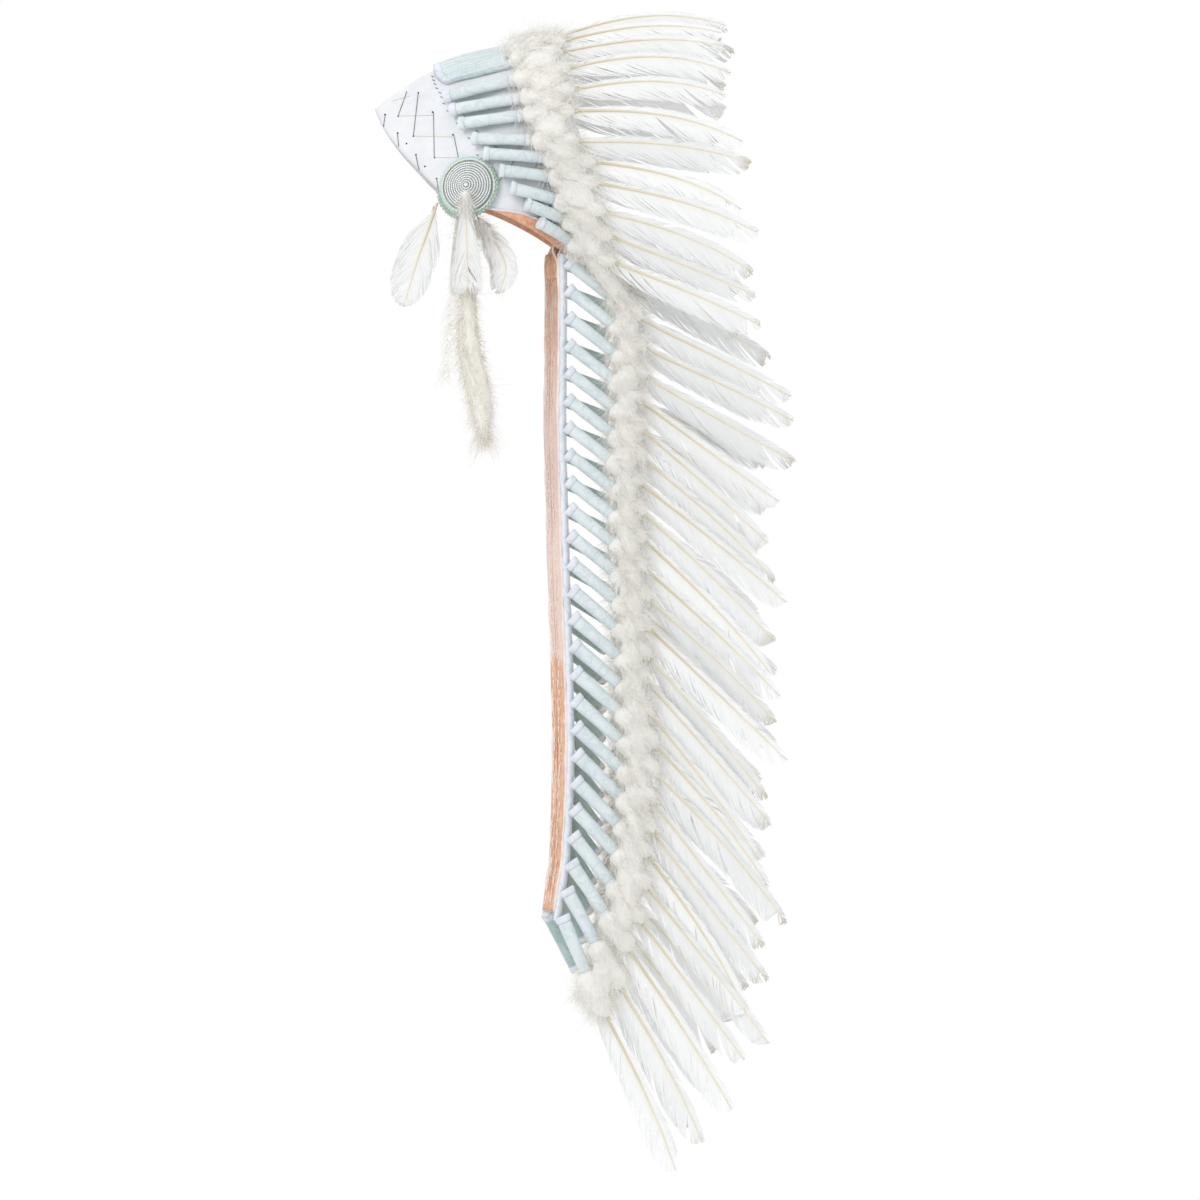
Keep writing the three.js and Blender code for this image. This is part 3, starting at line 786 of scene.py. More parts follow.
@dataclass
class Batch:
    """Many small shapes on their way to one joined mesh, in millimetres."""

    points: list[Array] = field(default_factory=list)
    corners: list[Array] = field(default_factory=list)
    sizes: list[Array] = field(default_factory=list)
    uvs: list[Array] = field(default_factory=list)
    tones: list[Array] = field(default_factory=list)
    parts: list[Array] = field(default_factory=list)
    count: int = 0

    def add(
        self, points: Array, faces: Array, uvs: Array, tone: float | Array = 0.5, part: int = 0
    ) -> None:
        """Adds faces that all have the same number of corners.

        Args:
            points: One row a point.
            faces: One row a face, of numbers of points.
            uvs: One row a point.
            tone: The shape's own tone from 0 to 1, or one for each point.
            part: Which finish the faces take.
        """
        sizes = np.full(len(faces), faces.shape[1])
        self.copy(points, faces.ravel(), sizes, uvs[faces.ravel()], np.full(len(faces), part), tone)

    def copy(
        self,
        points: Array,
        corners: Array,
        sizes: Array,
        uvs: Array,
        parts: Array,
        tone: float | Array = 0.5,
    ) -> None:
        """Adds faces of any sizes, with a UV place for each corner."""
        self.points.append(points)
        self.corners.append(corners + self.count)
        self.sizes.append(sizes)
        self.uvs.append(uvs)
        self.parts.append(parts)
        self.tones.append(np.broadcast_to(tone, len(points)))
        self.count += len(points)

    def stamp(self, pattern: Pattern, points: Array, tone: float = 0.5) -> None:
        """Adds a pattern with its points at new places."""
        self.copy(points, pattern.corners, pattern.sizes, pattern.uvs, pattern.parts, tone)

    def ribbons(
        self, paths: Array, across: Array, widths: Array, uvs: Array, tone: Array, part: int = 0
    ) -> None:
        """Adds flat strands.

        Args:
            paths: Strand, station, place.
            across: The flat way across each strand at each station, at length one.
            widths: Full width of each strand at each station.
            uvs: Strand, station, UV place.
            tone: One for each strand.
            part: Which finish they take.
        """
        strands, stations = paths.shape[:2]
        half = across * widths[..., None] / 2
        points = np.stack([paths - half, paths + half], 2).reshape(-1, 3)
        first = (np.arange(strands)[:, None] * stations + np.arange(stations - 1)) * 2
        faces = np.stack([first, first + 1, first + 3, first + 2], -1).reshape(-1, 4)
        places = np.repeat(uvs.reshape(-1, 2), 2, axis=0)
        self.add(points, faces, places, np.repeat(tone, stations * 2), part)

    def rings(
        self,
        points: Array,
        uvs: Array,
        tone: float,
        part: int = 0,
        closed: bool = False,
        flipped: bool = False,
        lids: bool = True,
    ) -> None:
        """Adds a skin over rings of points.

        Args:
            points: Ring, place round it, coordinates.
            uvs: One row a point.
            tone: Its own tone.
            part: Which finish it takes.
            closed: True if the last ring meets the first.
            flipped: True if the rings run the other way round.
            lids: True if the first and the last ring are filled.
        """
        stations, sides = points.shape[:2]
        ring = np.arange(stations if closed else stations - 1)[:, None] * sides
        this = np.arange(sides)
        after = (this + 1) % sides
        onward = (ring + sides) % (stations * sides)
        faces = np.stack([ring + this, ring + after, onward + after, onward + this], -1)
        faces = faces.reshape(-1, 4)
        ends = np.stack([this[::-1], this + (stations - 1) * sides])[: 2 * lids]
        if flipped:
            faces, ends = faces[:, ::-1], ends[:, ::-1]
        corners = np.concatenate([faces.ravel(), ends.ravel()])
        sizes = np.repeat((4, sides), (len(faces), len(ends)))
        places = np.concatenate([uvs[faces.ravel()], np.zeros((ends.size, 2))])
        self.copy(points.reshape(-1, 3), corners, sizes, places, np.full(len(sizes), part), tone)

    def tube(
        self,
        path: Array,
        radius: Array | float,
        sides: int = 6,
        tone: float = 0.5,
        part: int = 0,
        closed: bool = False,
    ) -> None:
        """Adds a round rod along a path.

        Args:
            path: One row a station.
            radius: One number, or one for each station.
            sides: Points round it.
            tone: Its own tone.
            part: Which finish it takes.
            closed: True if its end meets its start.
        """
        stations = len(path)
        ahead = np.roll(path, -1, 0) - np.roll(path, 1, 0) if closed else np.gradient(path, axis=0)
        along = unit(ahead)
        upright = np.abs(along[:, 2]).mean() > 0.8
        first = unit(np.cross(along, (0.0, 1.0, 0.0) if upright else (0.0, 0.0, 1.0)))
        angle, spokes = wheel(first, np.cross(along, first), sides)
        points = path[:, None] + spokes * np.broadcast_to(radius, stations)[:, None, None]
        share = np.repeat(np.linspace(0, 1, stations), sides)
        uvs = np.stack([np.tile(angle, stations), share], -1)
        self.rings(points, uvs, tone, part, closed, lids=not closed)

    def object(self, name: str, finishes: Sequence[Finish]) -> Piece:
        """Makes the joined mesh.

        Args:
            name: The new object's name.
            finishes: The finishes by number.

        Returns:
            The object, at the origin, in metres.
        """
        mesh = bpy.data.meshes.new(name)
        points = np.concatenate(self.points) * MM
        corners = np.concatenate(self.corners)
        sizes = np.concatenate(self.sizes)
        mesh.vertices.add(len(points))
        mesh.vertices.foreach_set("co", points.astype(np.float32).ravel())
        mesh.loops.add(len(corners))
        mesh.loops.foreach_set("vertex_index", corners.astype(np.int32))
        mesh.polygons.add(len(sizes))
        mesh.polygons.foreach_set("loop_start", (np.cumsum(sizes) - sizes).astype(np.int32))
        layer = mesh.uv_layers.new(name="UVMap")
        layer.data.foreach_set("uv", np.concatenate(self.uvs).astype(np.float32).ravel())
        tones = mesh.attributes.new("tone", "FLOAT", "POINT")
        tones.data.foreach_set("value", np.concatenate(self.tones).astype(np.float32))
        mesh.update(calc_edges=True)
        piece = bpy.data.objects.new(name, mesh)
        bpy.context.scene.collection.objects.link(piece)
        dress(piece, finishes, np.concatenate(self.parts))
        return piece

    def hand_over(self, name: str, finishes: Sequence[Finish], slot: str, *nodes: str) -> Piece:
        """Makes the joined mesh and hands it over."""
        return hand_over(self.object(name, finishes), slot, *nodes)


def dress(piece: Piece, finishes: Sequence[Finish], parts: Array | None = None) -> None:
    """Gives a piece its finishes and smooth shading.

    Args:
        piece: The piece.
        finishes: The finishes by number.
        parts: The finish number of each face, if they change.
    """
    for finish in finishes:
        piece.data.materials.append(finish.material())
    if parts is not None:
        piece.data.polygons.foreach_set("material_index", parts.astype(np.int32))
    piece.data.polygons.foreach_set("use_smooth", np.ones(len(piece.data.polygons), bool))
    piece.data.update()


def hand_over(piece: Piece, slot: str, *nodes: str) -> Piece:
    """Says which body a piece rides on, its material slot and which CAD nodes it stands for.

    Args:
        piece: The finished piece.
        slot: The record's material slot.
        nodes: CAD nodes that it replaces.

    Returns:
        The same piece.
    """
    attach(piece, "root")
    if nodes:
        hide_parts(*nodes)
    triangles = sum(len(face.vertices) - 2 for face in piece.data.polygons)
    stands_for = ", ".join(nodes) or "no node"
    LOG.info("%s: %d triangles, slot %s, for %s", piece.name, triangles, slot, stands_for)
    return piece


# ------------------------------------------------------------------ the cap


@dataclass
class Cap:
    """The hide cap: meridians that rise from the rim's loop and bend over to one top point.

    Each row of the rim is half of it, from the brow's crease to the nape: how far back, how far
    aside and how high it is, how far the wall leans back from upright, and how far it keeps that.
    """

    wall: float = 2.5
    top: tuple[float, float, float] = (80, 0, 125)
    top_reach: float = 0.5
    around: int = 132
    rise: int = 46
    rim: Rows = (
        (-87, 0, 65, 52, 55),
        (-80, 8, 49, 48, 58),
        (-63, 20, 24, 42, 62),
        (-41, 34, 0, 34, 70),
        (-22, 46, -18, 28, 78),
        (4, 59, -30, 22, 86),
        (32, 66, -39, 20, 90),
        (54, 64, -49, 24, 88),
        (72, 56, -59, 34, 86),
        (91, 35, -72, 48, 80),
        (101, 0, -79, 54, 76),
    )
    turned_in: float = 4.0
    neck: Rows = ((0, 18), (0.05, 15), (0.1, 11.5), (0.15, 8), (0.21, 0))
    neck_unit: float = 240.0
    neck_least: float = 0.3
    neck_off: float = 1.7
    neck_wall: float = 1.2
    centre: tuple[float, float, float] = (30.0, 0.0, 10.0)
    neck_centre: tuple[float, float, float] = (60.0, 0.0, -40.0)
    skin: BVHTree | None = None

    def dome(self, around: Array, rise: Array) -> Array:
        """Places on the outside of the cap.

        Args:
            around: Shares round the rim from the brow by the wearer's left side.
            rise: Shares from the rim to the top.

        Returns:
            One row for each pair of shares.
        """
        half = np.array(self.rim, float)
        other = half[1:-1][::-1] * np.array([1, -1, 1, 1, 1])
        rows = np.concatenate([half, other])
        loop = catmull(rows[:, :3], around % 1, closed=True) * np.array([1, -1, 1])
        wall = catmull(rows[:, 3:], around % 1, closed=True)
        lean, reach = np.radians(wall[:, :1]), wall[:, 1:]
        top = np.array(self.top, float)
        leave = loop + np.hstack([np.sin(lean), np.zeros_like(lean), np.cos(lean)]) * reach
        arrive = top - (top - loop) * np.array([1, 1, 0]) * self.top_reach
        share = rise[:, None]
        rest = 1 - share
        low = rest**3 * loop + 3 * rest**2 * share * leave
        return low + 3 * rest * share**2 * arrive + share**3 * top

    def slack(self, around: Array, rise: Array) -> Array:
        """How far the soft hide stands off its even shape, in millimetres."""
        turn = around * TURN
        waves = np.sin(5 * turn + 9 * rise) * 0.35 + np.sin(11 * turn - 16 * rise + 1) * 0.22
        return waves * np.sin(np.pi * np.clip(rise * 1.6, 0, 1)) * 0.9

    def place(self, around: Array, rise: Array) -> Array:
        """Places on the cap's outside, with the softness of the hide."""
        points = self.dome(around, rise)
        return points + unit(points - self.centre) * self.slack(around, rise)[:, None]

    def build(self) -> Piece:
        """Models the cap, and keeps its outside for the pieces that lie on it."""
        piece = laid_grid("cap_hide", self.around, self.rise, self.place)
        face_away(piece, np.array(self.centre) * MM)
        faces = [list(face.vertices) for face in piece.data.polygons]
        self.skin = BVHTree.FromPolygons((coordinates(piece.data) / MM).tolist(), faces)
        dress(piece, [WHITE_HIDE, SUEDE, CUT_EDGE])
        thicken(piece, self.wall, rim_part=2, inner_part=1)
        parts = read(piece.data.polygons, "material_index", kind=np.int32)
        parts[(parts > 0) & (face_centres(piece.data)[:, 0] < self.turned_in * MM)] = 0
        piece.data.polygons.foreach_set("material_index", parts)
        return hand_over(piece, "leather", "cap")

    def neck_height(self, around: Array) -> Array:
        """How high the neck band is over the rim, by share round it."""
        from_nape = np.abs(around - 0.5)
        return np.interp(from_nape, *zip(*self.neck)) / self.neck_unit

    def build_neck_band(self) -> Piece:
        """Models the suede band round the nape, from behind one rosette to behind the other."""
        reach = self.neck[-1][0]

        def place(u: Array, v: Array) -> Array:
            """From the rim up to the band's top, just off the hide."""
            around = 0.5 + (2 * u - 1) * reach
            high = v * np.maximum(self.neck_height(around), self.neck_least / self.neck_unit)
            points = self.dome(around, high)
            ahead = self.dome(around + 0.002, high) - points
            upward = self.dome(around, high + 0.01) - points
            out = unit(np.cross(ahead, upward))
            out *= np.sign(dot(out, points - self.neck_centre))
            return points + out * self.neck_off

        piece = laid_grid("neck_band", 72, 6, place)
        face_away(piece, np.array(self.neck_centre) * MM)
        dress(piece, [SUEDE] * 3)
        thicken(piece, self.neck_wall)
        hand_over(piece, "suede")
        u = np.linspace(0, 1, 120)
        rough = 0.25 * np.sin(u * 90) + 0.2 * np.sin(u * 157)
        hem = place(u, np.ones_like(u)) + np.array([0, 0, 0.6]) + rough[:, None] * 0.4
        batch = Batch()
        batch.tube(hem, 0.9 + rough * 0.5, 8)
        return batch.hand_over("neck_hem", [WHITE_HIDE], "leather")

    def hit(self, origin: Array, direction: Array) -> tuple[Array, Array]:
        """Where a ray meets the cap's outside first, and the outward way there."""
        place, normal, _, _ = self.skin.ray_cast(Vector(origin), Vector(direction))
        normal = np.array(normal)
        if normal @ direction > 0:
            normal = -normal
        return np.array(place), normal

    def from_side(self, x: float, z: float, side: Side) -> tuple[Array, Array]:
        """The place on the cap's side at a distance back and a height, or the nearest above it."""
        far, inward = side.value * FAR, np.array([0.0, -side.value, 0.0])
        while not self.skin.ray_cast(Vector((x, far, z)), Vector(inward))[0]:
            x, z = x + 0.2, z + 0.5
        return self.hit(np.array([x, far, z]), inward)

    def from_above(self, x: float, y: float) -> tuple[Array, Array]:
        """The place on top of the cap at a distance back and aside."""
        return self.hit(np.array([x, y, FAR]), np.array([0.0, 0.0, -1.0]))

    def over(self, places: Sequence[tuple[float, float]], side: Side, lift: float) -> Array:
        """Places lifted off the cap's side.

        Args:
            places: Distances back and heights.
            side: The side of the wearer.
            lift: How far off the hide.

        Returns:
            One row a place.
        """
        hits = [self.from_side(x, z, side) for x, z in places]
        return np.array([point + out * lift for point, out in hits])

    def run(self, ends: Sequence[float], side: Side, lift: float) -> Array:
        """A line over the cap's side between two places, as rows of places."""
        start, end = np.array(ends[:2]), np.array(ends[2:])
        steps = max(3, int(math.dist(start, end) / 3))
        return self.over(mix(start, end, np.linspace(0, 1, steps + 1)[:, None]), side, lift)


@dataclass
class Lacing:
    """The thread on each side of the cap: its awl holes, shown as dark plugs of painted shade, dark
    and pale runs, and stitches.
    """

    cap: Cap
    thread: float = 0.34
    hole: float = 1.0
    holes: Rows = (
        (-76.8, 59.5), (-64.5, 40.8), (-46.6, 18.8), (-26.3, -5.4), (-63.9, 57.8), (-43.7, 81.2),
        (-48.9, 37.5), (-29.8, 61.6), (-28.2, 15.8), (-9.9, 38.5), (-55.8, 30.1), (-37.8, 7.0),
    )
    dark_runs: Rows = (
        (-76.8, 58.5, -78.6, 47.0), (-64.5, 40.0, -63.6, 27.0), (-46.6, 18.8, -43.6, 2.5),
        (-26.3, -5.4, -24.9, -15.5), (-63.9, 57.8, -55.1, 82.5), (-43.7, 81.2, -48.9, 37.5),
        (-28.9, 61.6, -28.4, 15.8), (-9.2, 38.5, -4.8, 15.9),
    )
    pale_runs: Rows = (
        (-63.9, 57.8, -29.8, 58.4), (-48.9, 37.5, -9.9, 36.2), (-28.2, 15.8, -5.0, 15.4),
        (-70.0, 73.0, -52.0, 78.1),
    )
    edge_stitches: Rows = (
        (-29.4, 97.6), (-28.6, 93.8), (-27.2, 89.9), (-25.4, 85.6), (-22.4, 81.0), (-20.6, 76.4),
        (-18.6, 70.0), (-14.6, 62.3), (-5.4, 49.5), (5.6, 34.7), (13.9, 17.7),
    )
    loose_ends: Rows = (
        (12.5, 42.6, 18.3, 38.1), (30.6, 26.9, 35.2, 23.1), (49.2, 11.1, 47.0, 6.3),
        (37.9, -4.8, 34.4, -10.1), (1.0, 58.6, 1.6, 56.4),
    )
    loose_out: float = 2.5
    pale_lift: float = 0.2
    stitch_lift: float = 0.5

    def build(self, side: Side) -> Piece:
        """Models one side's thread."""
        batch = Batch()
        for ends in self.dark_runs:
            batch.tube(self.cap.run(ends, side, self.thread), self.thread)
        for ends in self.pale_runs:
            batch.tube(self.cap.run(ends, side, self.pale_lift), self.thread * 0.8, part=1)
        for ends in self.loose_ends:
            path = self.cap.run(ends, side, self.thread)
            path[:, 1] += side.value * np.linspace(0, self.loose_out, len(path))
            batch.tube(path, self.thread)
        # Painted shade: a dark plug at each awl hole stands in for the shade inside it.
        for x, z in self.holes:
            point, out = self.cap.from_side(x, z, side)
            path = point + np.outer((-0.6, 0.0, 0.12, 0.3), out)
            batch.tube(path, np.array([1, 1, 0.8, 0.35]) * self.hole, 10, part=2)
        for x, z in self.edge_stitches:
            path = self.cap.run((x - 1.1, z + 0.5, x + 1.3, z - 0.6), side, self.stitch_lift)
            batch.tube(path, self.thread * 1.15)
        return batch.hand_over(
            f"cap_lacing_{side.word}", [DARK_THREAD, PALE_THREAD, AWL_HOLE_SHADE], "leather"
        )


# ------------------------------------------------------------------ feathers


@dataclass
class Shaft:
    """The line of a feather's shaft, with the ways up the vane and out of its face along it."""

    points: Array
    along: Array
    rise: Array
    face: Array
    gone: Array

    @classmethod
    def of(cls, points: Array, rise: Array, face: Array) -> "Shaft":
        """A shaft through points, with its length worked out."""
        steps = np.linalg.norm(np.diff(points, axis=0), axis=1)
        gone = np.concatenate([[0], np.cumsum(steps)])
        return cls(points, unit(np.gradient(points, axis=0)), rise, face, gone)

    @property
    def length(self) -> float:
        """Its length in millimetres."""
        return float(self.gone[-1])

    def pick(self, rows: Array, lengths: Array) -> Array:
        """Rows at lengths along the shaft."""
        return np.stack([np.interp(lengths, self.gone, rows[:, k]) for k in range(3)], -1)

    def at(self, lengths: Array) -> tuple[Array, Array, Array, Array]:
        """The place, the way along, the way up the vane and the way out of its face."""
        rows = (self.points, self.along, self.rise, self.face)
        return tuple(self.pick(row, lengths) for row in rows)


def across_of(along: Array) -> Array:
    """The ways across a line that keeps to one side plane, in that plane."""
    return np.stack([-along[:, 2], np.zeros(len(along)), along[:, 0]], -1)


@dataclass
class Plume:
    """A feather tied to the end of its quill: how it heads, droops, sags and rolls."""

    foot: Array
    side: Side
    flare: float
    quill_droop: float
    droop: float
    sag: float
    roll: float
    length: float
    fluff_length: float
    fluff_radius: float
    turn: float = 0.0
    down_from: float = -7.0
    down_to: float = 55.0
    steps: int = 60
    before: float = 20.0
    sag_power: float = 1.5

    def shaft(self) -> Shaft:
        """The shaft from a little before the foot to the tip. Its lengths start below zero."""
        sign = self.side.value
        plan = math.radians(self.turn + sign * self.flare)
        outward = np.array([-sign * math.sin(plan), sign * math.cos(plan), 0.0])
        gone = np.linspace(0, self.length, self.steps + 1)
        bend = np.minimum(gone / self.fluff_length, 1)
        late = np.maximum(0, (gone - self.fluff_length) / (self.length - self.fluff_length))
        fall = mix(self.quill_droop, self.droop, bend) + self.sag * late**self.sag_power
        angle = np.radians(fall)
        level = np.cos(angle)
        along = np.stack([level * math.cos(plan), level * math.sin(plan), -np.sin(angle)], -1)
        upward = np.cross(along, outward) * sign
        upward *= np.sign(upward[:, 2:])
        lean = math.radians(self.roll)
        rise = upward * math.cos(lean) - outward * math.sin(lean)
        face = outward * math.cos(lean) + upward * math.sin(lean)
        moved = np.cumsum(along[:-1] * (self.length / self.steps), axis=0)
        points = self.foot + np.concatenate([np.zeros((1, 3)), moved])
        points = np.concatenate([self.foot - along[:1] * self.before, points])
        ways = (np.concatenate([rows[:1], rows]) for rows in (along, rise, face))
        return Shaft(points, *ways, np.concatenate([[-self.before], gone]))


@dataclass(frozen=True)
class VaneShape:
    """Half widths of a vane by share of its length, and how its barbs grow."""

    above: Rows
    below: Rows
    barbs_above: int = 84
    barbs_below: int = 104
    angle_above: float = 17
    angle_below: float = 25
    cup: float = 1.8
    splits: int = 5
    fray: float = 1.2
    spine: float = 1.0


NARROW = (
    (0, 1.5), (0.08, 3.2), (0.3, 5.6), (0.6, 6.6), (0.82, 6.6), (0.93, 5.4), (0.985, 3.4), (1, 0.8),
)
BROAD = ((0, 5), (0.08, 11), (0.3, 19), (0.55, 22), (0.8, 21.6), (0.91, 19), (0.97, 13), (1, 1.6))
FLIGHT_VANE = VaneShape(NARROW, BROAD)
LOOSE = ((0, 4), (0.1, 9), (0.35, 15.5), (0.75, 16), (0.9, 12), (0.97, 6.5), (1, 1.0))
HANGING_VANE = VaneShape(
    LOOSE, LOOSE, angle_above=27, angle_below=27, splits=7, fray=2.2, spine=0.75
)
FAN = ((0, 2), (0.15, 5), (0.5, 11), (0.8, 15), (0.94, 16), (0.985, 12), (1, 3.0))
FAN_VANE = VaneShape(FAN, FAN, angle_above=20, angle_below=20, splits=6, fray=1.6, spine=0.4)


def strand_uvs(shares: Array, strands: int) -> Array:
    """The UV places of strands that all run over the same shares."""
    return np.tile(np.stack([shares, np.full_like(shares, 0.5)], -1), (strands, 1, 1))


@dataclass
class Feathering:
    """Makes the vanes, shafts and down of feathers, with its own seeded chances."""

    rng: np.random.Generator
    barb_stations: tuple[float, ...] = (0.0, 0.34, 0.7, 1.0)
    shaft_radius: tuple[float, float] = (1.9, 0.4)

    def vane(
        self,
        batch: Batch,
        shaft: Shaft,
        start: float,
        shape: VaneShape,
        upper: bool,
        tone: float,
        scale: float = 1.0,
    ) -> None:
        """Adds one side of a vane as barbs that lie side by side, parted where they have split.

        Args:
            batch: Where the barbs go.
            shaft: The feather's shaft.
            start: Length along the shaft at which the vane begins.
            shape: Its widths and barbs.
            upper: True for the side that the shaft's rise points to.
            tone: The feather's own tone.
            scale: How wide it is against its shape.
        """
        rng = self.rng
        rows = shape.above if upper else shape.below
        sign = 1.0 if upper else -1.0
        count = shape.barbs_above if upper else shape.barbs_below
        angle = math.radians(shape.angle_above if upper else shape.angle_below)
        length = shaft.length - start
        share = np.linspace(0, 1, 500)
        width = np.interp(share, *zip(*rows)) * scale
        root_share = share - width / math.tan(angle) / length
        kept = root_share >= 0
        roots = np.linspace(0, root_share[-1], count)
        ends = np.interp(roots, root_share[kept], share[kept])
        cuts = np.sort(rng.uniform(0.05, 0.97, shape.splits))
        bounds = np.concatenate([[0], cuts, [1]])
        group = np.searchsorted(cuts, roots)
        pull = rng.uniform(0.0, 0.26, shape.splits + 1)[group] * shape.fray**0.5
        loose = (1 - roots) ** 3 * 0.03 + 0.004
        middle = (bounds[group] + bounds[group + 1]) / 2
        ends = ends + (middle - roots) * pull + rng.normal(0, 1, count) * loose * shape.fray
        ends = np.clip(ends, 0.02, 1.0)
        reach = np.interp(ends, share, width)
        reach = reach * (1 - np.abs(rng.normal(0, 0.035, count)) * shape.fray)
        q = np.array(self.barb_stations)
        lateral = reach[:, None] * (1 - (1 - q) ** 1.35)
        places = mix(roots[:, None], ends[:, None], q**1.05)
        point, _, rise, face = shaft.at(start + places * length)
        cupped = -shape.cup * (lateral / (width.max() + 1e-6)) ** 2
        wave = 0.5 * np.sin(places * 21 + tone * 30) * (lateral / width.max())
        lift = rng.normal(0, 0.9, count)[:, None] * q**2 * loose[:, None] / 0.03 * shape.fray
        paths = point + rise * (sign * lateral)[..., None]
        paths = paths + face * (cupped + wave + lift)[..., None]
        ahead = unit(np.gradient(paths, axis=1))
        across = unit(np.cross(face, ahead))
        spread = np.abs(dot(np.gradient(paths, axis=0), across))[..., 0]
        usual = np.median(spread, axis=0)
        widths = np.clip(spread, 0, usual * 1.25) * np.array([1.7, 1.65, 1.45, 0.6])
        tilt = rng.normal(0, 0.07, count)[:, None, None]
        across = unit(across * np.cos(tilt) + face * np.sin(tilt))
        uvs = np.stack([np.broadcast_to(q, places.shape), places], -1)
        tones = np.clip(tone + rng.normal(0, 0.12, count), 0, 1)
        batch.ribbons(paths, across, np.maximum(widths, 0.08), uvs, tones)

    def spine(self, batch: Batch, shaft: Shaft, start: float, tone: float, scale: float) -> None:
        """Adds the bare shaft from a length along it to just short of the tip."""
        lengths = np.linspace(start, shaft.length * 0.988, 22)
        point, _, _, face = shaft.at(lengths)
        share = np.linspace(0, 1, len(lengths))
        radius = mix(*self.shaft_radius, share**0.8) * scale
        batch.tube(point + face * 0.15, radius, 6, tone, part=1)

    def feather(
        self,
        batch: Batch,
        shaft: Shaft,
        start: float,
        shape: VaneShape,
        scale: float = 1.0,
    ) -> None:
        """Adds a whole feather: both sides of its vane and its shaft."""
        tone = float(self.rng.uniform(0.15, 0.95))
        for upper in (True, False):
            self.vane(batch, shaft, start, shape, upper, tone, scale)
        self.spine(batch, shaft, start - 12, tone, shape.spine)

    def down(
        self,
        batch: Batch,
        shaft: Shaft,
        span: tuple[float, float],
        radius: Callable[[Array], Array],
        strands: int,
        reach: tuple[float, float],
        core: float,
        comb: float = 0.3,
        hang: float = 1.2,
        stray: float = 0.06,
    ) -> None:
        """Adds a lump of down round a stretch of a shaft: a soft core and the curled strands on it.

        Args:
            batch: Where it goes.
            shaft: The line that it is tied round.
            span: The lengths along it from which and to which it grows.
            radius: The lump's radius by share of the span.
            strands: How many strands.
            reach: How long the strands are, from the least to the most.
            core: The core's share of the radius.
            comb: How much the strands lean along the shaft.
            hang: How far the tips hang.
            stray: The share of strands that stand far out.
        """
        rng = self.rng
        low, high = span
        shift = rng.uniform(0, TURN, 6)
        tone = float(rng.uniform(0.3, 0.7))

        def puff(share: Array, angle: Array) -> Array:
            """How much fuller or thinner the down is at a place, around one."""
            first = np.sin(share * 6 + 2 * np.cos(angle + shift[0]) + shift[1])
            second = np.sin(3 * angle + share * 8 + shift[2])
            third = np.sin(7 * angle + shift[4]) * np.sin(share * 19 + 2 * np.sin(angle + shift[5]))
            return 1 + 0.07 * first + 0.05 * second + 0.03 * third

        def closed(share: Array) -> Array:
            """How much of its radius is left towards the two ends of the core."""
            return np.sqrt(np.clip(np.minimum(share, 1 - share) / 0.16, 0.015, 1))

        around, stations = 20, 15
        share = np.linspace(0.0, 1.0, stations)
        point, _, rise, face = shaft.at(mix(low, high, share))
        angle, spokes = wheel(rise, face, around)
        size = (radius(share) * closed(share))[:, None] * core * puff(share[:, None], angle[None])
        uvs = np.full((stations * around, 2), (0.6, 0.5))
        batch.rings(point[:, None] + spokes * size[..., None], uvs, tone, lids=False)

        share = rng.uniform(0.0, 1.0, strands) ** 1.15
        angle = rng.uniform(0, TURN, strands)
        full = radius(share) * closed(share) * puff(share, angle) * core
        full = full * rng.uniform(0.78, 0.99, strands)
        point, along, rise, face = shaft.at(mix(low, high, share))
        spoke = rise * np.cos(angle)[:, None] + face * np.sin(angle)[:, None]
        swirl = face * np.cos(angle)[:, None] - rise * np.sin(angle)[:, None]
        clump = np.sin(angle * 3 + share * 11 + shift[3]) * 1.4 + rng.normal(0, 1.0, strands)
        way = along * np.cos(clump)[:, None] + swirl * np.sin(clump)[:, None]
        lean = comb - 1.5 * np.clip(1 - share / 0.14, 0, 1)
        way = unit(way + spoke * rng.uniform(0.3, 1.1, strands)[:, None] + along * lean[:, None])
        far = rng.random(strands) < stray
        long = rng.uniform(*reach, strands) * np.where(far, rng.uniform(1.4, 2.3, strands), 1)
        q = np.array([0.0, 0.5, 1.0])
        bend = unit(np.cross(way, rng.normal(0, 1, (strands, 3))))
        curl = (long * rng.normal(0, 0.28, strands))[:, None] * q**2
        paths = (
            (point + spoke * full[:, None])[:, None]
            + way[:, None] * (long[:, None] * q)[..., None]
            + bend[:, None] * curl[..., None]
        )
        paths[..., 2] -= hang * q**2
        forward = unit(np.gradient(paths, axis=1))
        across = unit(np.cross(forward, unit(spoke[:, None] + rng.normal(0, 0.4, (strands, 1, 3)))))
        widths = np.where(far, 0.21, 0.36)[:, None] * np.array([1.0, 0.9, 0.3])
        tones = np.clip(tone + rng.normal(0, 0.12, strands), 0, 1)
        batch.ribbons(paths, across, widths, strand_uvs(mix(0.45, 1.0, q), strands), tones)

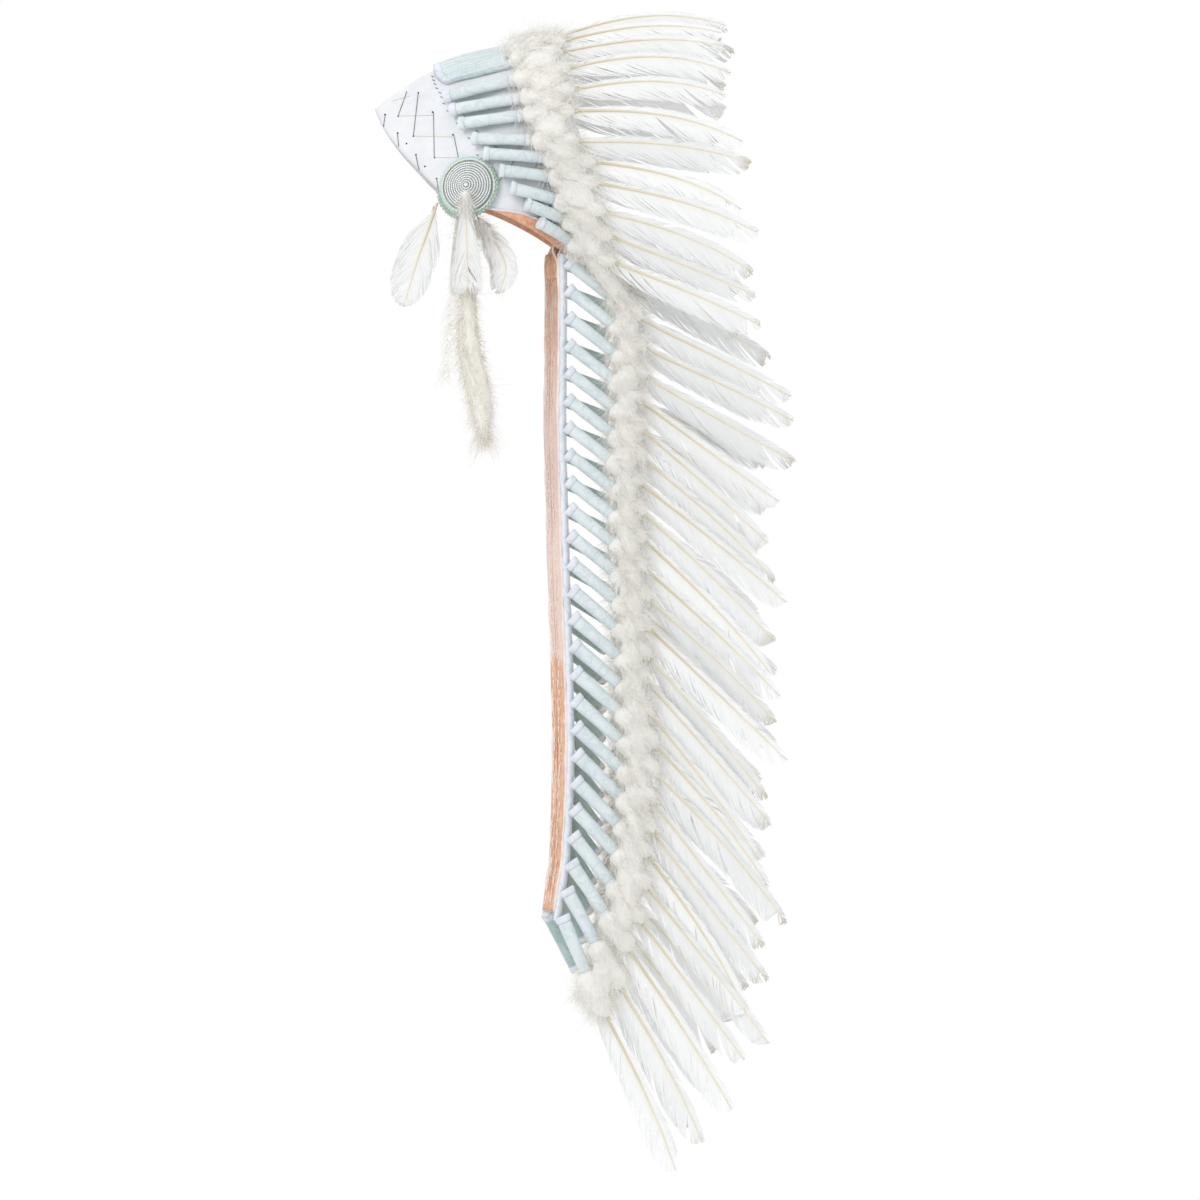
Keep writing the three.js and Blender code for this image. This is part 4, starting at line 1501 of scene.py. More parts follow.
    def wisps(
        self,
        batch: Batch,
        shaft: Shaft,
        count: int,
        reach: tuple[float, float],
        sides: tuple[float, float],
    ) -> None:
        """Adds thin curled barbs along a line.

        Args:
            batch: Where they go.
            shaft: The line.
            count: How many.
            reach: Their least and greatest length.
            sides: Least and greatest share of the way from the face to the rise where they grow.
        """
        rng = self.rng
        lengths = np.sort(rng.uniform(0, shaft.length, count))
        point, along, rise, face = shaft.at(lengths)
        lean = rng.uniform(*sides, count)[:, None]
        aside = unit(rise * lean + face * rng.normal(0, 0.5, (count, 1)))
        long = rng.uniform(*reach, count)
        q = np.linspace(0, 1, 7)
        phase = rng.uniform(0, TURN, count)[:, None]
        turn = mix(1.1, 0.3, q) + 0.35 * np.sin(q * 5 + phase)
        steps = (long / 6)[:, None, None] * (
            aside[:, None] * np.sin(turn)[..., None] + along[:, None] * np.cos(turn)[..., None]
        )
        paths = point[:, None] + np.cumsum(steps, axis=1) - steps[:, :1]
        forward = unit(np.gradient(paths, axis=1))
        across = unit(np.cross(forward, unit(rng.normal(0, 1, (count, 1, 3)))))
        widths = np.broadcast_to(mix(0.3, 0.1, q), (count, 7))
        tones = rng.uniform(0.0, 0.4, count)
        batch.ribbons(paths, across, widths, strand_uvs(mix(0.0, 0.4, q), count), tones)


def lump(radius: float, end: float = 0.82) -> Callable[[Array], Array]:
    """The radius of a feather's down by share of it: round at the foot, narrower at the end."""

    def at(share: Array) -> Array:
        """The radius at a share."""
        rounded = np.clip(1 - (1 - np.clip(share / 0.16, 0, 1)) ** 2, 0.45, 1)
        closing = np.clip(1 - np.clip((share - 0.8) / 0.2, 0, 1) ** 2, 0.35, 1)
        return radius * rounded * closing * mix(1.0, end, share)

    return at


# ------------------------------------------------------------------ wrapped quills


@dataclass
class QuillWrap:
    """A quill wrapped in cloth, with a tape round each end and a turn of sinew by the feather."""

    radius: float = 6.0
    length: float = 65.0
    tape: float = 7.0
    sides: int = 20
    pattern: Pattern | None = None

    def model(self) -> None:
        """Models the wrap once, along +Z."""
        r, end, tape = self.radius, self.length, self.tape
        rows = [
            (1.6, r * 0.5), (1.2, r * 0.78), (0.0, r * 0.86), (0.2, r * 0.98), (1.0, r * 1.04),
            (tape - 0.5, r * 1.03), (tape, r * 0.93), (tape + 0.5, r * 0.97), (tape + 5, r),
            (end * 0.3, r * 1.01), (end * 0.5, r * 0.98), (end * 0.72, r * 1.0),
            (end - tape - 0.5, r * 0.98), (end - tape, r * 0.93), (end - tape + 0.5, r * 1.03),
            (end - 1.4, r * 1.03), (end - 1.0, r * 0.9), (end - 0.7, r * 0.95),
            (end + 0.6, r * 0.95), (end + 0.9, r * 0.7),
        ]

        def part_of(centres: Array) -> Array:
            """Cloth, with painted shade on its inner side, then the tapes, the seams by them and
            the sinew.
            """
            height = centres[:, 2]
            # Painted shade: faces on the inner side, away from the way out, take the darker cloth.
            parts = np.where(centres[:, 0] < -r * 0.1, 4, 0)
            parts = np.where((height < tape - 0.4) | (height > end - tape + 0.4), 1, parts)
            seam = (np.abs(height - tape) < 0.4) | (np.abs(height - (end - tape)) < 0.4)
            parts = np.where(seam, 3, parts)
            return np.where(height > end - 1.1, 2, parts)

        self.pattern = Pattern.of(turned(self.sides, rows), part_of)

    def lay(
        self, batch: Batch, path: Array, out: Array, rng: np.random.Generator, foot: float = 1.0
    ) -> None:
        """Copies the wrap along a path.

        Args:
            batch: Where the copy goes.
            path: Places from its start to the feather's foot.
            out: The way out of what it lies on, towards which its seam doesn't look.
            rng: Its chances of creases and tone.
            foot: How thick its start is against its end.
        """
        shaft = Shaft.of(path, np.zeros_like(path), np.zeros_like(path))
        local = self.pattern.points.copy()
        share = local[:, 2] / self.length
        point, along, _, _ = shaft.at(share * shaft.length)
        past = np.clip(share - 1, 0, None) * self.length
        point = point + along * past[:, None]
        second = unit(np.cross(along, out))
        first = np.cross(second, along)
        angle = np.arctan2(local[:, 1], local[:, 0])
        phase = rng.uniform(0, TURN, 3)
        inner = np.sin(np.pi * np.clip(share, 0, 1)) ** 0.5
        folds = 0.025 * np.sin(3 * angle + 5 * share + phase[0])
        folds = folds + 0.018 * np.sin(7 * share * 3 + 2 * angle + phase[1])
        size = (1 + folds * inner) * mix(foot, 1.0, np.clip(share, 0, 1))
        flat = 1 - 0.16 * np.exp(-((share / 0.09) ** 2))
        places = point + first * (local[:, :1] * size[:, None] * flat[:, None])
        places = places + second * (local[:, 1:2] * size[:, None] * (2 - flat)[:, None])
        batch.stamp(self.pattern, places, float(rng.uniform(0.3, 0.8)))


# ------------------------------------------------------------------ the crown


@dataclass
class Crown:
    """The nine wrapped quills on each side of the cap, with their feathers and down.

    Each row is one quill of the left side, mirrored on the right: where it starts and ends on the
    cap's side, how its feather flares, droops, sags and rolls, and how long the feather is.
    """

    cap: Cap
    wrap: QuillWrap
    feathering: Feathering
    per_plume: int = 3
    lift: float = 2.6
    fluff_length: float = 60.0
    fluff_radius: float = 16.5
    rows: Rows = (
        (-19, 76, 54, 93, 3, -8, 34, 25, 216),
        (-13, 63, 57, 74, 5, -4, 28, 10, 222),
        (-4, 49, 60, 57, 7, -1, 25, 0, 226),
        (9, 34, 67, 32, 8, 1, 18, -8, 220),
        (20, 19, 79, 15, 9, 6, 22, -12, 214),
        (35, 2, 87, -4, 10, 8, 20, -14, 220),
        (46, -15, 93, -27, 11, 12, 24, -16, 208),
        (61, -31, 101, -46, 12, 18, 9, -16, 210),
        (75, -49, 107, -67, 12, 22, 9, -16, 208),
    )

    def quill_line(self, row: Sequence[float], side: Side) -> tuple[Array, Array]:
        """A quill's middle line over the cap, and the way out of the cap under it."""
        places, ways = [], []
        for share in (0.0, 0.5, 1.0):
            x, z = mix(row[0], row[2], share), mix(row[1], row[3], share)
            point, out = self.cap.from_side(x, z, side)
            reach = (self.wrap.radius + self.lift) / abs(out[1])
            places.append(point + np.array([0.0, side.value * reach, 0.0]))
            ways.append(out)
        shares = np.linspace(0, 1, 13)
        return catmull(np.array(places), shares), unit(np.mean(ways, axis=0))

    def plume(self, row: Sequence[float], line: Array, side: Side) -> Plume:
        """The feather at the end of a quill."""
        x0, z0, x1, z1, flare, droop, sag, roll, length = row
        fall = math.degrees(math.atan2(z0 - z1, x1 - x0))
        foot = line[-1] + unit(line[-1] - line[-2]) * GAP
        fluff = (self.fluff_length, self.fluff_radius)
        return Plume(foot, side, flare, fall, droop, sag, roll, length, *fluff)

    def build_side(self, side: Side) -> list[Plume]:
        """Models one side's quills and gives their plumes."""
        batch, plumes = Batch(), []
        for row in self.rows:
            line, out = self.quill_line(row, side)
            self.wrap.lay(batch, line, out, self.feathering.rng)
            plumes.append(self.plume(row, line, side))
        names = [f"crown_quill_{side.word}_{k + 1}" for k in range(len(self.rows))]
        batch.hand_over(f"crown_quill_wraps_{side.word}", WRAP_FINISHES, "cloth", *names)
        return plumes


@dataclass
class Panel:
    """The cloth panel over the six top quills, and the feathers that come out of it.

    Each row of the feathers is one of the left side's three, mirrored on the right: how far across
    the panel it is, and how it flares, droops, sags, rolls and how long it is.
    """

    cap: Cap
    middle: tuple[float, float] = (-28, 45)
    edge_x: tuple[float, float] = (-15, 50)
    edge_z: tuple[float, float] = (89, 104)
    thick: float = 5.0
    valley: float = 1.2
    ribs: int = 6
    lift: float = 1.4
    plume_gap: float = 4.0
    tape: float = 0.1
    seam: float = 0.28
    cloth_width: float = 190.0
    cloth_length: float = 71.0
    rows: Rows = (
        (0.83, 6, -12, 28, 26, 226),
        (0.5, 4, -16, 36, 34, 226),
        (0.17, 2, -14, 36, 42, 232),
    )

    def dip(self, across: Array) -> Array:
        """How far the cloth dips beside a rib, by place from -1 to 1 across."""
        rib = np.abs(np.sin((across + 1) / 2 * self.ribs * math.pi)) ** 0.8
        return self.valley * (1 - rib)

    def over(self, share: float, across: float, height: float) -> Array:
        """A place above the cap's top, by share along the panel and from -1 to 1 across it."""
        edge_x, edge_z = mix(*self.edge_x, share), mix(*self.edge_z, share)
        half = abs(self.cap.from_side(edge_x, edge_z, Side.RIGHT)[0][1])
        x = mix(mix(*self.middle, share), edge_x, across**2)
        point, out = self.cap.from_above(x, across * half)
        return point + out * height

    def build(self) -> Piece:
        """Models the ribbed cloth and its tapes as one closed piece."""
        columns, rows = self.ribs * 10, 40

        def place(u: Array, v: Array) -> Array:
            """The upper side first, then the lower one, from front to back."""
            upper = u <= 0.5
            across = np.where(upper, u * 4 - 1, 3 - u * 4)
            band = ((v < self.tape) | (v > 1 - self.tape)) * 0.35
            end = np.clip(np.minimum(v, 1 - v) / 0.012, 0, 1) ** 0.5
            side = np.clip((1 - np.abs(across)) / 0.04, 0, 1) ** 0.5
            crown = self.thick - self.dip(across) + band
            height = self.lift + np.where(upper, crown * end * side, 0)
            return np.array([self.over(*row) for row in zip(v, across, height)])

        piece = laid_grid("crown_panel_cloth", columns * 2, rows, place, wrapped=True)
        scale_uvs(piece, self.cloth_width, self.cloth_length)
        along = face_uvs(piece.data)[:, 1] / self.cloth_length
        bands = (along < self.tape) | (along > 1 - self.tape)
        dress(piece, [PANEL_CLOTH, TAPE], bands.astype(int))
        return hand_over(piece, "cloth", "crown_panel")

    def build_seams(self) -> Piece:
        """Models the seams beside the panel's tapes and along its two long edges."""
        batch = Batch()
        top = self.lift + self.thick + 0.1
        across = np.linspace(-0.97, 0.97, 97)
        heights = top - self.dip(across)
        for share in (self.tape + 0.006, 1 - self.tape - 0.006):
            path = [self.over(share, a, h) for a, h in zip(across, heights)]
            batch.tube(np.array(path), self.seam)
        for edge in (-0.93, 0.93):
            height = top - float(self.dip(np.array(edge)))
            path = [self.over(share, edge, height) for share in np.linspace(0.02, 0.98, 40)]
            batch.tube(np.array(path), self.seam)
        return batch.hand_over("crown_panel_seams", [SEAM], "cloth")

    def plumes(self, fluff_length: float, fluff_radius: float) -> list[Plume]:
        """The six top feathers."""
        made = []
        fluff = (fluff_length, fluff_radius)
        for side in Side:
            for across, flare, droop, sag, roll, length in self.rows:
                foot = self.over(1.0, -across, self.lift + self.thick / 2)
                foot = foot + heading(math.radians(-flare), math.radians(droop)) * self.plume_gap
                foot = foot * np.array([1, -side.value, 1])
                made.append(Plume(foot, side, flare, droop, droop, sag, roll, length, *fluff))
        return made


# ------------------------------------------------------------------ the trailer


@dataclass
class Trailer:
    """The hide strip that hangs from the nape, with its edge bands and two rows of quills.

    The line gives how far back the strip is and half its width by distance below the nape. The
    rows give, by the same distance, the droop of the quills and feathers of the left and the right
    row, the feathers' length and the fluff's radius.
    """

    top: float = -79.5
    turn: float = 11.25
    depth: float = 14.0
    wall: float = 2.0
    strip: float = 657.0
    binding: float = 664.0
    binding_from: float = 0.84
    binding_to: float = 1.04
    binding_thick: float = 5.0
    count: int = 25
    first: tuple[float, float] = (9.0, 5.0)
    pitch: tuple[float, float] = (27.2, 27.35)
    sink: float = 3.2
    tuck: float = 2.0
    flare: float = 12.0
    per_plume: int = 5
    sag: float = 5.0
    roll: float = -16.0
    fluff_length: float = 54.0
    quill: float = 65.0
    strip_width: float = 69.0
    nape_reach: float = 0.04
    tongue_wall: float = 1.4
    lines: tuple[float, float] = (0.92, 0.74)
    stitch_pitch: float = 9.4
    flat: tuple[float, float] = (0.0686, 0.657)
    down_start: float = 13.0
    down_starts: Rows = ((0, 250, 450, 664), (-16, -15, -13, -11))
    down_ends: Rows = ((0, 250, 450, 664), (31, 34, 46, 50))
    foot_thickness: Rows = ((200, 420), (1.0, 1.2))
    profile: Rows = (
        (0, 0), (-0.03, 0.4), (0, 0.85), (0.25, 1), (0.75, 1), (1, 0.85), (1.03, 0.4), (1, 0),
    )
    line: Rows = (
        (0, 105, 28),
        (60, 105, 30),
        (175, 104, 30),
        (310, 107.5, 30),
        (412, 111, 30),
        (495, 112.5, 30),
        (541, 111.5, 29),
        (605, 108.5, 27),
        (664, 100, 24),
    )
    rows: Rows = (
        (9, 38, 27, 18, 17, 200, 16.5),
        (90, 38, 36, 18, 26, 206, 16.5),
        (230, 38, 42, 21, 31, 220, 16.5),
        (330, 40, 46, 30, 36, 232, 16.5),
        (450, 42, 49, 45, 40, 242, 16.5),
        (550, 46, 52, 51, 45, 238, 17),
        (607, 56, 57, 57, 50, 228, 19),
        (664, 67, 61, 62, 56, 220, 19),
    )

    @property
    def ways(self) -> tuple[Array, Array]:
        """The backward and the sideways directions of the turned strip."""
        turn = math.radians(self.turn)
        back = np.array([math.cos(turn), math.sin(turn), 0.0])
        return back, np.array([-math.sin(turn), math.cos(turn), 0.0])

    def on(self, down: Array, across: Array, out: Array) -> Array:
        """Places off the strip's back face.

        Args:
            down: Distances below the nape.
            across: From -1 to 1 across the strip.
            out: Distances off the back face.

        Returns:
            One row for each.
        """
        down, across, out = np.broadcast_arrays(*map(np.atleast_1d, (down, across, out)))
        table = np.array(self.line, float)
        back = np.interp(down, table[:, 0], table[:, 1])
        half = np.interp(down, table[:, 0], table[:, 2])
        slope = 2 * self.depth * across / half
        size = np.sqrt(1 + slope**2)
        behind = -self.depth * across**2 + out / size
        aside = half * across + out * slope / size
        backward, sideways = self.ways
        points = np.stack([back, np.zeros_like(back), self.top - down], -1)
        return points + backward * behind[:, None] + sideways * aside[:, None]

    def build_strip(self) -> Piece:
        """Models the strip as a soft channel of hide with rolled edges."""

        def place(u: Array, v: Array) -> Array:
            """The back face from its top down, with the waves of old hide."""
            across, down = 1 - u * 2, v * self.strip
            wave = 0.5 * np.sin(v * 34 + across * 2) + 0.3 * np.sin(v * 71 - across * 3)
            return self.on(down, across, wave * 0.6 - 0.9)

        piece = laid_grid("trailer_strip_hide", 24, 150, place)
        face_towards(piece, self.ways[0])
        scale_uvs(piece, self.strip_width, self.strip)
        dress(piece, [STRIP_SUEDE, STRIP_SUEDE, CUT_EDGE])
        thicken(piece, self.wall, rim_part=2, inner_part=1)
        return hand_over(piece, "suede", "trailer_strip")

    def build_trim(self, rng: np.random.Generator) -> Piece:
        """Models the strip's pale rolled edges, its creases and its lines of white stitches."""
        batch = Batch()
        down = np.linspace(2, self.strip - 1, 220)
        inner = -self.wall - 1.0
        for sign in (-1, 1):
            roll = self.on(down, sign * (0.985 + 0.012 * np.sin(down / 11)), -self.wall / 2 - 0.6)
            plump = 1.5 + 0.35 * np.sin(down / 7 + sign) + 0.25 * np.sin(down / 19)
            batch.tube(roll, plump, 8, part=1)
            crease = self.on(down, sign * (0.84 + 0.01 * np.sin(down / 23)), inner - 0.1)
            batch.tube(crease, 0.9 + 0.2 * np.sin(down / 21), 6, part=2)
            for line in self.lines:
                for start in np.arange(12, self.strip - 10, self.stitch_pitch):
                    start += rng.uniform(-0.8, 0.8)
                    stretch = np.linspace(start, start + rng.uniform(6, 8.6), 5)
                    bow = np.array([0, 0.5, 0.65, 0.5, 0])
                    stray = line + rng.normal(0, 0.016)
                    stray = stray + np.array([0, 0.008, 0.012, 0.004, 0]) * rng.normal(0, 1.6)
                    thick = 0.42 if start < 400 else 0.62
                    batch.tube(self.on(stretch, sign * stray, inner - bow), thick, 5)
        return batch.hand_over("trailer_strip_trim", [WHITE_THREAD, CUT_EDGE, STRIP_SUEDE], "suede")

    def build_tongue(self, cap: Cap) -> Piece:
        """Models the flared tongue of suede that joins the strip to the inside of the nape."""

        def place(u: Array, v: Array) -> Array:
            """From inside the cap over its rim's inner edge and down onto the strip."""
            across = 1 - 2 * u
            knots = []
            for rise in (0.12, 0.0):
                outer = cap.place(0.5 + self.nape_reach * across, np.full_like(u, rise))
                inward = unit((np.array([30.0, 0.0, 0.0]) - outer) * np.array([1, 1, 0]))
                knots.append(outer + inward * 4.2)
            for down in (8, 24):
                knots.append(self.on(down, across * 0.99, -self.wall - 1.1))
            shares, rows = np.unique(v, return_inverse=True)
            made = catmull(np.stack(knots).reshape(4, -1), shares)
            return made.reshape(-1, len(u), 3)[rows, np.arange(len(u))]

        piece = laid_grid("nape_tongue", 20, 16, place)
        face_towards(piece, self.ways[0])
        dress(piece, [STRIP_SUEDE, STRIP_SUEDE, CUT_EDGE])
        thicken(piece, self.tongue_wall, rim_part=2, inner_part=1)
        return hand_over(piece, "suede")

    def build_rows(self, wrap: QuillWrap, feathering: Feathering) -> dict[Side, list[Plume]]:
        """Models both edge bands with their quills, and gives the plumes of each side."""
        table = np.array(self.rows, float)
        made = {}
        for side in Side:
            sign = side.value
            row = 0 if side is Side.LEFT else 1
            batch = Batch()
            middle = sign * (self.binding_from + self.binding_to) / 2
            self.band(batch, side, np.linspace(0, self.binding, 260))
            plan = math.radians(self.turn + sign * self.flare)
            outward = np.array([-math.sin(plan), math.cos(plan), 0.0]) * sign
            out = GAP + self.binding_thick - self.sink + wrap.radius
            made[side] = []
            for at in self.first[row] + np.arange(self.count) * self.pitch[row]:
                columns = (1 + row * 2, 2 + row * 2, 5, 6)
                quill_droop, droop, length, fluff = (
                    np.interp(at, table[:, 0], table[:, k]) for k in columns
                )
                along = heading(plan, math.radians(quill_droop))
                root = self.on(at, middle, out)[0] - along * self.tuck
                end = root + along * (self.quill + self.tuck)
                path = mix(root, end, np.linspace(0, 1, 9)[:, None])
                foot = float(np.interp(at, *self.foot_thickness))
                wrap.lay(batch, path, outward, feathering.rng, foot)
                tie = self.on(at + np.array([-5, -2, 1, 4.5]), middle, GAP + 5.6)
                batch.tube(tie, 0.5, 6, part=3)
                plume = Plume(
                    end + along * GAP, side, self.flare, quill_droop, droop, self.sag, self.roll,
                    length, self.fluff_length, fluff, self.turn,
                )
                start = float(np.interp(at, *self.down_starts))
                plume.down_from = start if side is Side.LEFT else self.down_start
                plume.down_to = float(np.interp(at, *self.down_ends))
                made[side].append(plume)
            batch.hand_over(
                f"trailer_quills_{side.word}", WRAP_FINISHES, "cloth", f"quill_row_{side.word}"
            )
        return made

    def band(self, batch: Batch, side: Side, down: Array) -> None:
        """Adds a scalloped cloth band along one edge of the strip."""
        sign = side.value
        row = 0 if side is Side.LEFT else 1
        scallop = 0.5 + 0.5 * np.cos((down - self.first[row]) / self.pitch[row] * TURN)
        rings = []
        for place, height in self.profile:
            share = place + (place > 0.9) * 0.12 * (scallop - 0.5)
            across = sign * mix(self.binding_from, self.binding_to, share)
            out = GAP + height * (self.binding_thick - 0.7 + 0.5 * scallop)
            rings.append(self.on(down, across, out))
        marks = len(rings)
        wide = np.tile(np.array(self.profile)[:, 0] * 12, len(down))
        uvs = np.stack([wide, np.repeat(down, marks)], -1)
        batch.rings(np.stack(rings, 1), uvs, 0.6, part=1, flipped=side is Side.LEFT)

    def build_ends(self) -> Piece:
        """Models the white tab below the strip."""
        down = self.strip + np.array([-6, 0, 4, 7.5])
        out = -self.wall - 0.2
        across = np.linspace(-0.72, 0.1, 9)
        grid = [self.on(d, across * (1 - 0.05 * k), out - 0.6 * k) for k, d in enumerate(down)]
        back = np.array(grid) + self.ways[0] * 1.5
        sheet = np.concatenate([grid, back[::-1]])
        rows, columns = sheet.shape[:2]
        first = np.arange(rows)[:, None] * columns + np.arange(columns - 1)
        onward = (first + columns) % (rows * columns)
        faces = np.stack([first, first + 1, onward + 1, onward], -1).reshape(-1, 4)
        uvs = np.stack(np.meshgrid(np.arange(columns) * 3.0, np.arange(rows) * 4.0), -1)
        batch = Batch()
        batch.add(sheet.reshape(-1, 3), faces, uvs.reshape(-1, 2), 0.6)
        return batch.hand_over("trailer_tab", [WHITE_HIDE], "leather")


# ------------------------------------------------------------------ the rosettes


@dataclass(frozen=True)
class HangingFeather:
    """A loose feather under a rosette: how far out it is, half its width, its line back and up."""

    name: str
    out: float
    half: float
    line: Rows
    start: float = 0.06
    fluff: float = 0.0
    shape: VaneShape = HANGING_VANE


@dataclass
class Rosette:
    """A pinked felt disc with a coned coil of beads, three loose feathers and a drop of fur."""

    cap: Cap
    side: Side
    feathering: Feathering
    x: float = 6.0
    z: float = -14.0
    radius: float = 31.0
    felt: float = 3.0
    lift: float = 1.0
    teeth: int = 52
    tooth: float = 1.7
    stitches: tuple[float, float] = (27.2, 30.9)
    disc: float = 25.0
    edge: float = 1.6
    rise: float = 7.0
    bead: float = 1.86
    bead_pitch: float = 2.44
    bead_rows: Rows = (
        (-0.92, 0.5), (-0.55, 0.9), (0.0, 1.06), (0.55, 0.9), (0.92, 0.5),
    )
    fur_radius: float = 11.5
    fur_out: float = 1.0
    fur_line: Rows = (
        (5, -47, 0.55),
        (5, -75, 0.7),
        (5, -120, 0.74),
        (7, -173, 0.88),
        (17, -223, 1.08),
        (21, -258, 1.12),
        (22, -272, 0.8),
    )
    feathers: tuple[HangingFeather, ...] = (
        HangingFeather("front", -2, 20, ((-26, -30), (-35, -56), (-47, -90), (-59, -131))),
        HangingFeather(
            "middle", 16, 16, ((1, -17), (2, -46), (3, -80), (4, -121)), 0.0, 12, FAN_VANE
        ),
        HangingFeather("curled", -2, 13, ((14, -44), (32, -70), (42, -94), (36, -118)), fluff=20),
    )

    def __post_init__(self) -> None:
        """Finds where the rosette lies on the cap and its own directions."""
        point, self.out = self.cap.from_side(self.x, self.z, self.side)
        self.back = point + self.out * self.lift
        self.up = unit(np.array([0.0, 0.0, 1.0]) - self.out * self.out[2])
        self.aside = np.cross(self.up, self.out)

    def put(self, local: Array) -> Array:
        """Places from the rosette's own directions: aside, up and out."""
        return self.back + local @ np.array([self.aside, self.up, self.out])

    def build_felt(self) -> Piece:
        """Models the pinked felt disc."""
        r, t = self.radius, self.felt
        rows = [(0.0, r * 0.6), (0.0, r - 0.4), (0.5, r), (t - 0.5, r), (t, r - 0.5), (t, r * 0.84)]
        piece = turned(self.teeth * 2, [*rows, (t - 0.2, r * 0.6)])
        points = coordinates(piece.data)
        angle = np.arctan2(points[:, 1], points[:, 0])
        reach = np.linalg.norm(points[:, :2], axis=1)
        notch = self.tooth * 0.5 * (1 - np.cos(angle * self.teeth))
        notch = notch * np.clip((reach - r * 0.8) / (r * 0.15), 0, 1)
        points[:, :2] *= (1 - notch / np.maximum(reach, 1))[:, None]
        points[:, 2] += 0.35 * np.sin(angle * 7) * np.clip(reach / r, 0, 1) ** 4
        move_points(piece.data, self.put(points) * MM)
        name = f"rosette_felt_disc_{self.side.word}"
        piece.name = piece.data.name = name
        face_away(piece, (self.back + self.out * t / 2) * MM)
        dress(piece, [FELT])
        return hand_over(piece, "felt", f"rosette_felt_{self.side.word}")

    def ring(self, radius: float, height: float, turns: int, spin: float, phase: float) -> Array:
        """A thread wound round a circle.

        Args:
            radius: The circle's radius.
            height: How far out it lies.
            turns: How many times the thread winds round it.
            spin: How far from the circle the thread is.
            phase: Where its winding starts.

        Returns:
            Places round the closed thread.
        """
        angle = np.arange(turns * 6) / (turns * 6) * TURN
        wind = angle * turns + phase
        reach = radius + spin * np.cos(wind)
        out = height + spin * np.sin(wind)
        return self.put(np.stack([reach * np.cos(angle), reach * np.sin(angle), out], -1))

    def build_trim(self) -> Piece:
        """Models the two-ply cord round the beads and the dark whip stitches at the felt's edge;
        the stitches go on one half only and also stand in for the pinked edge's painted shadow
        there.
        """
        batch = Batch()
        for phase in (0, math.pi):
            ply = self.ring(self.disc + 1.9, self.felt + 0.6, 40, 0.5, phase)
            batch.tube(ply, 0.5, closed=True)
        low, high = self.stitches
        # Partly painted shadow: the dark stitches cover only the half of the edge towards the
        # rosette's aside, away from the light on the left rosette, and also stand in for the pinked
        # edge's shadow.
        for angle in np.radians(np.arange(-118, 64, 9)):
            zig = [(low, angle), (high, angle + 0.05), (low, angle + 0.157)]
            path = [[r * math.cos(a), r * math.sin(a), self.felt + 0.55] for r, a in zig]
            batch.tube(self.put(np.array(path)), 0.24, 4, part=1)
        name, node = (f"rosette_{stem}_{self.side.word}" for stem in ("trim", "felt"))
        return batch.hand_over(name, [WHITE_THREAD, DARK_THREAD], "felt", node)

    def build_disc(self) -> Piece:
        """Models the coned backing and the coil of beads on it."""
        base = self.felt + GAP
        rim = base + self.edge
        batch = Batch()
        rows = [(base, self.disc), (rim, self.disc), (rim + self.rise - 0.6, 0.6)]
        cone = Pattern.of(turned(48, rows), lambda centres: np.ones(len(centres), int))
        batch.stamp(cone, self.put(cone.points))
        bead = Pattern.of(turned(8, self.bead_rows))
        rng = self.feathering.rng
        for reach in np.arange(self.disc - 1.6, 1.0, -self.bead_pitch):
            height = rim + self.rise * (1 - reach / self.disc) - 0.05
            count = round(TURN * reach / self.bead)
            for turn in (np.arange(count) + rng.random()) / count * TURN:
                outward, along = heading(turn, 0.0), heading(turn + math.pi / 2, 0.0)
                centre = outward * reach + np.array([0.0, 0.0, height])
                axes = np.array([outward, np.array([0.0, 0.0, 1.0]), along])
                # Painted shade: beads on the lower aside part of the cone, which faces away from
                # the light, are darker, more so towards the rim.
                shade = 0.35 * max(0.0, math.cos(turn + 0.8)) * reach / self.disc
                tone = float(np.clip(rng.normal(0.8, 0.12) - shade, 0, 1))
                points = centre + bead.points @ axes * rng.uniform(0.95, 1.03)
                batch.stamp(bead, self.put(points), tone)
        centre = np.array([0, 0, rim + self.rise - 0.2])
        batch.stamp(bead, self.put(centre + bead.points * 1.15), 0.9)
        name, node = (f"rosette_{stem}_{self.side.word}" for stem in ("beads", "disc"))
        return batch.hand_over(name, [BEADS, BACKING], "beadwork", node)

    def hang(self, feather: HangingFeather) -> Shaft:
        """The shaft of a loose feather."""
        y = self.back[1] + self.side.value * feather.out
        knots = np.array([[x, y, z] for x, z in feather.line], float)
        points = catmull(knots, np.linspace(0, 1, 41))
        along = unit(np.gradient(points, axis=0))
        rise = across_of(along)
        face = np.tile([0.0, float(self.side.value), 0.0], (41, 1))
        return Shaft.of(points, rise, face)

    def build_feathers(self) -> None:
        """Models the three loose feathers with their down."""
        for feather in self.feathers:
            shaft = self.hang(feather)
            batch = Batch()
            start = shaft.length * feather.start + feather.fluff * 0.3
            self.feathering.feather(batch, shaft, start, feather.shape, feather.half / 16)
            node = f"rosette_feather_{feather.name}_{self.side.word}"
            batch.hand_over(
                f"rosette_vane_{feather.name}_{self.side.word}", [VANE, SHAFT], "feather", node
            )
            if feather.fluff:
                downy = Batch()
                radius = lump(feather.half * 0.3, 1.3)
                span = (1.0, feather.fluff + 6)
                self.feathering.down(downy, shaft, span, radius, 520, (7, 16), 0.7, 1.6, 2.0, 0.1)
                self.feathering.wisps(downy, shaft, 46, (8, 20), (-1.0, 1.0))
                downy.hand_over(
                    f"rosette_down_{feather.name}_{self.side.word}", [DOWN], "feather", node
                )

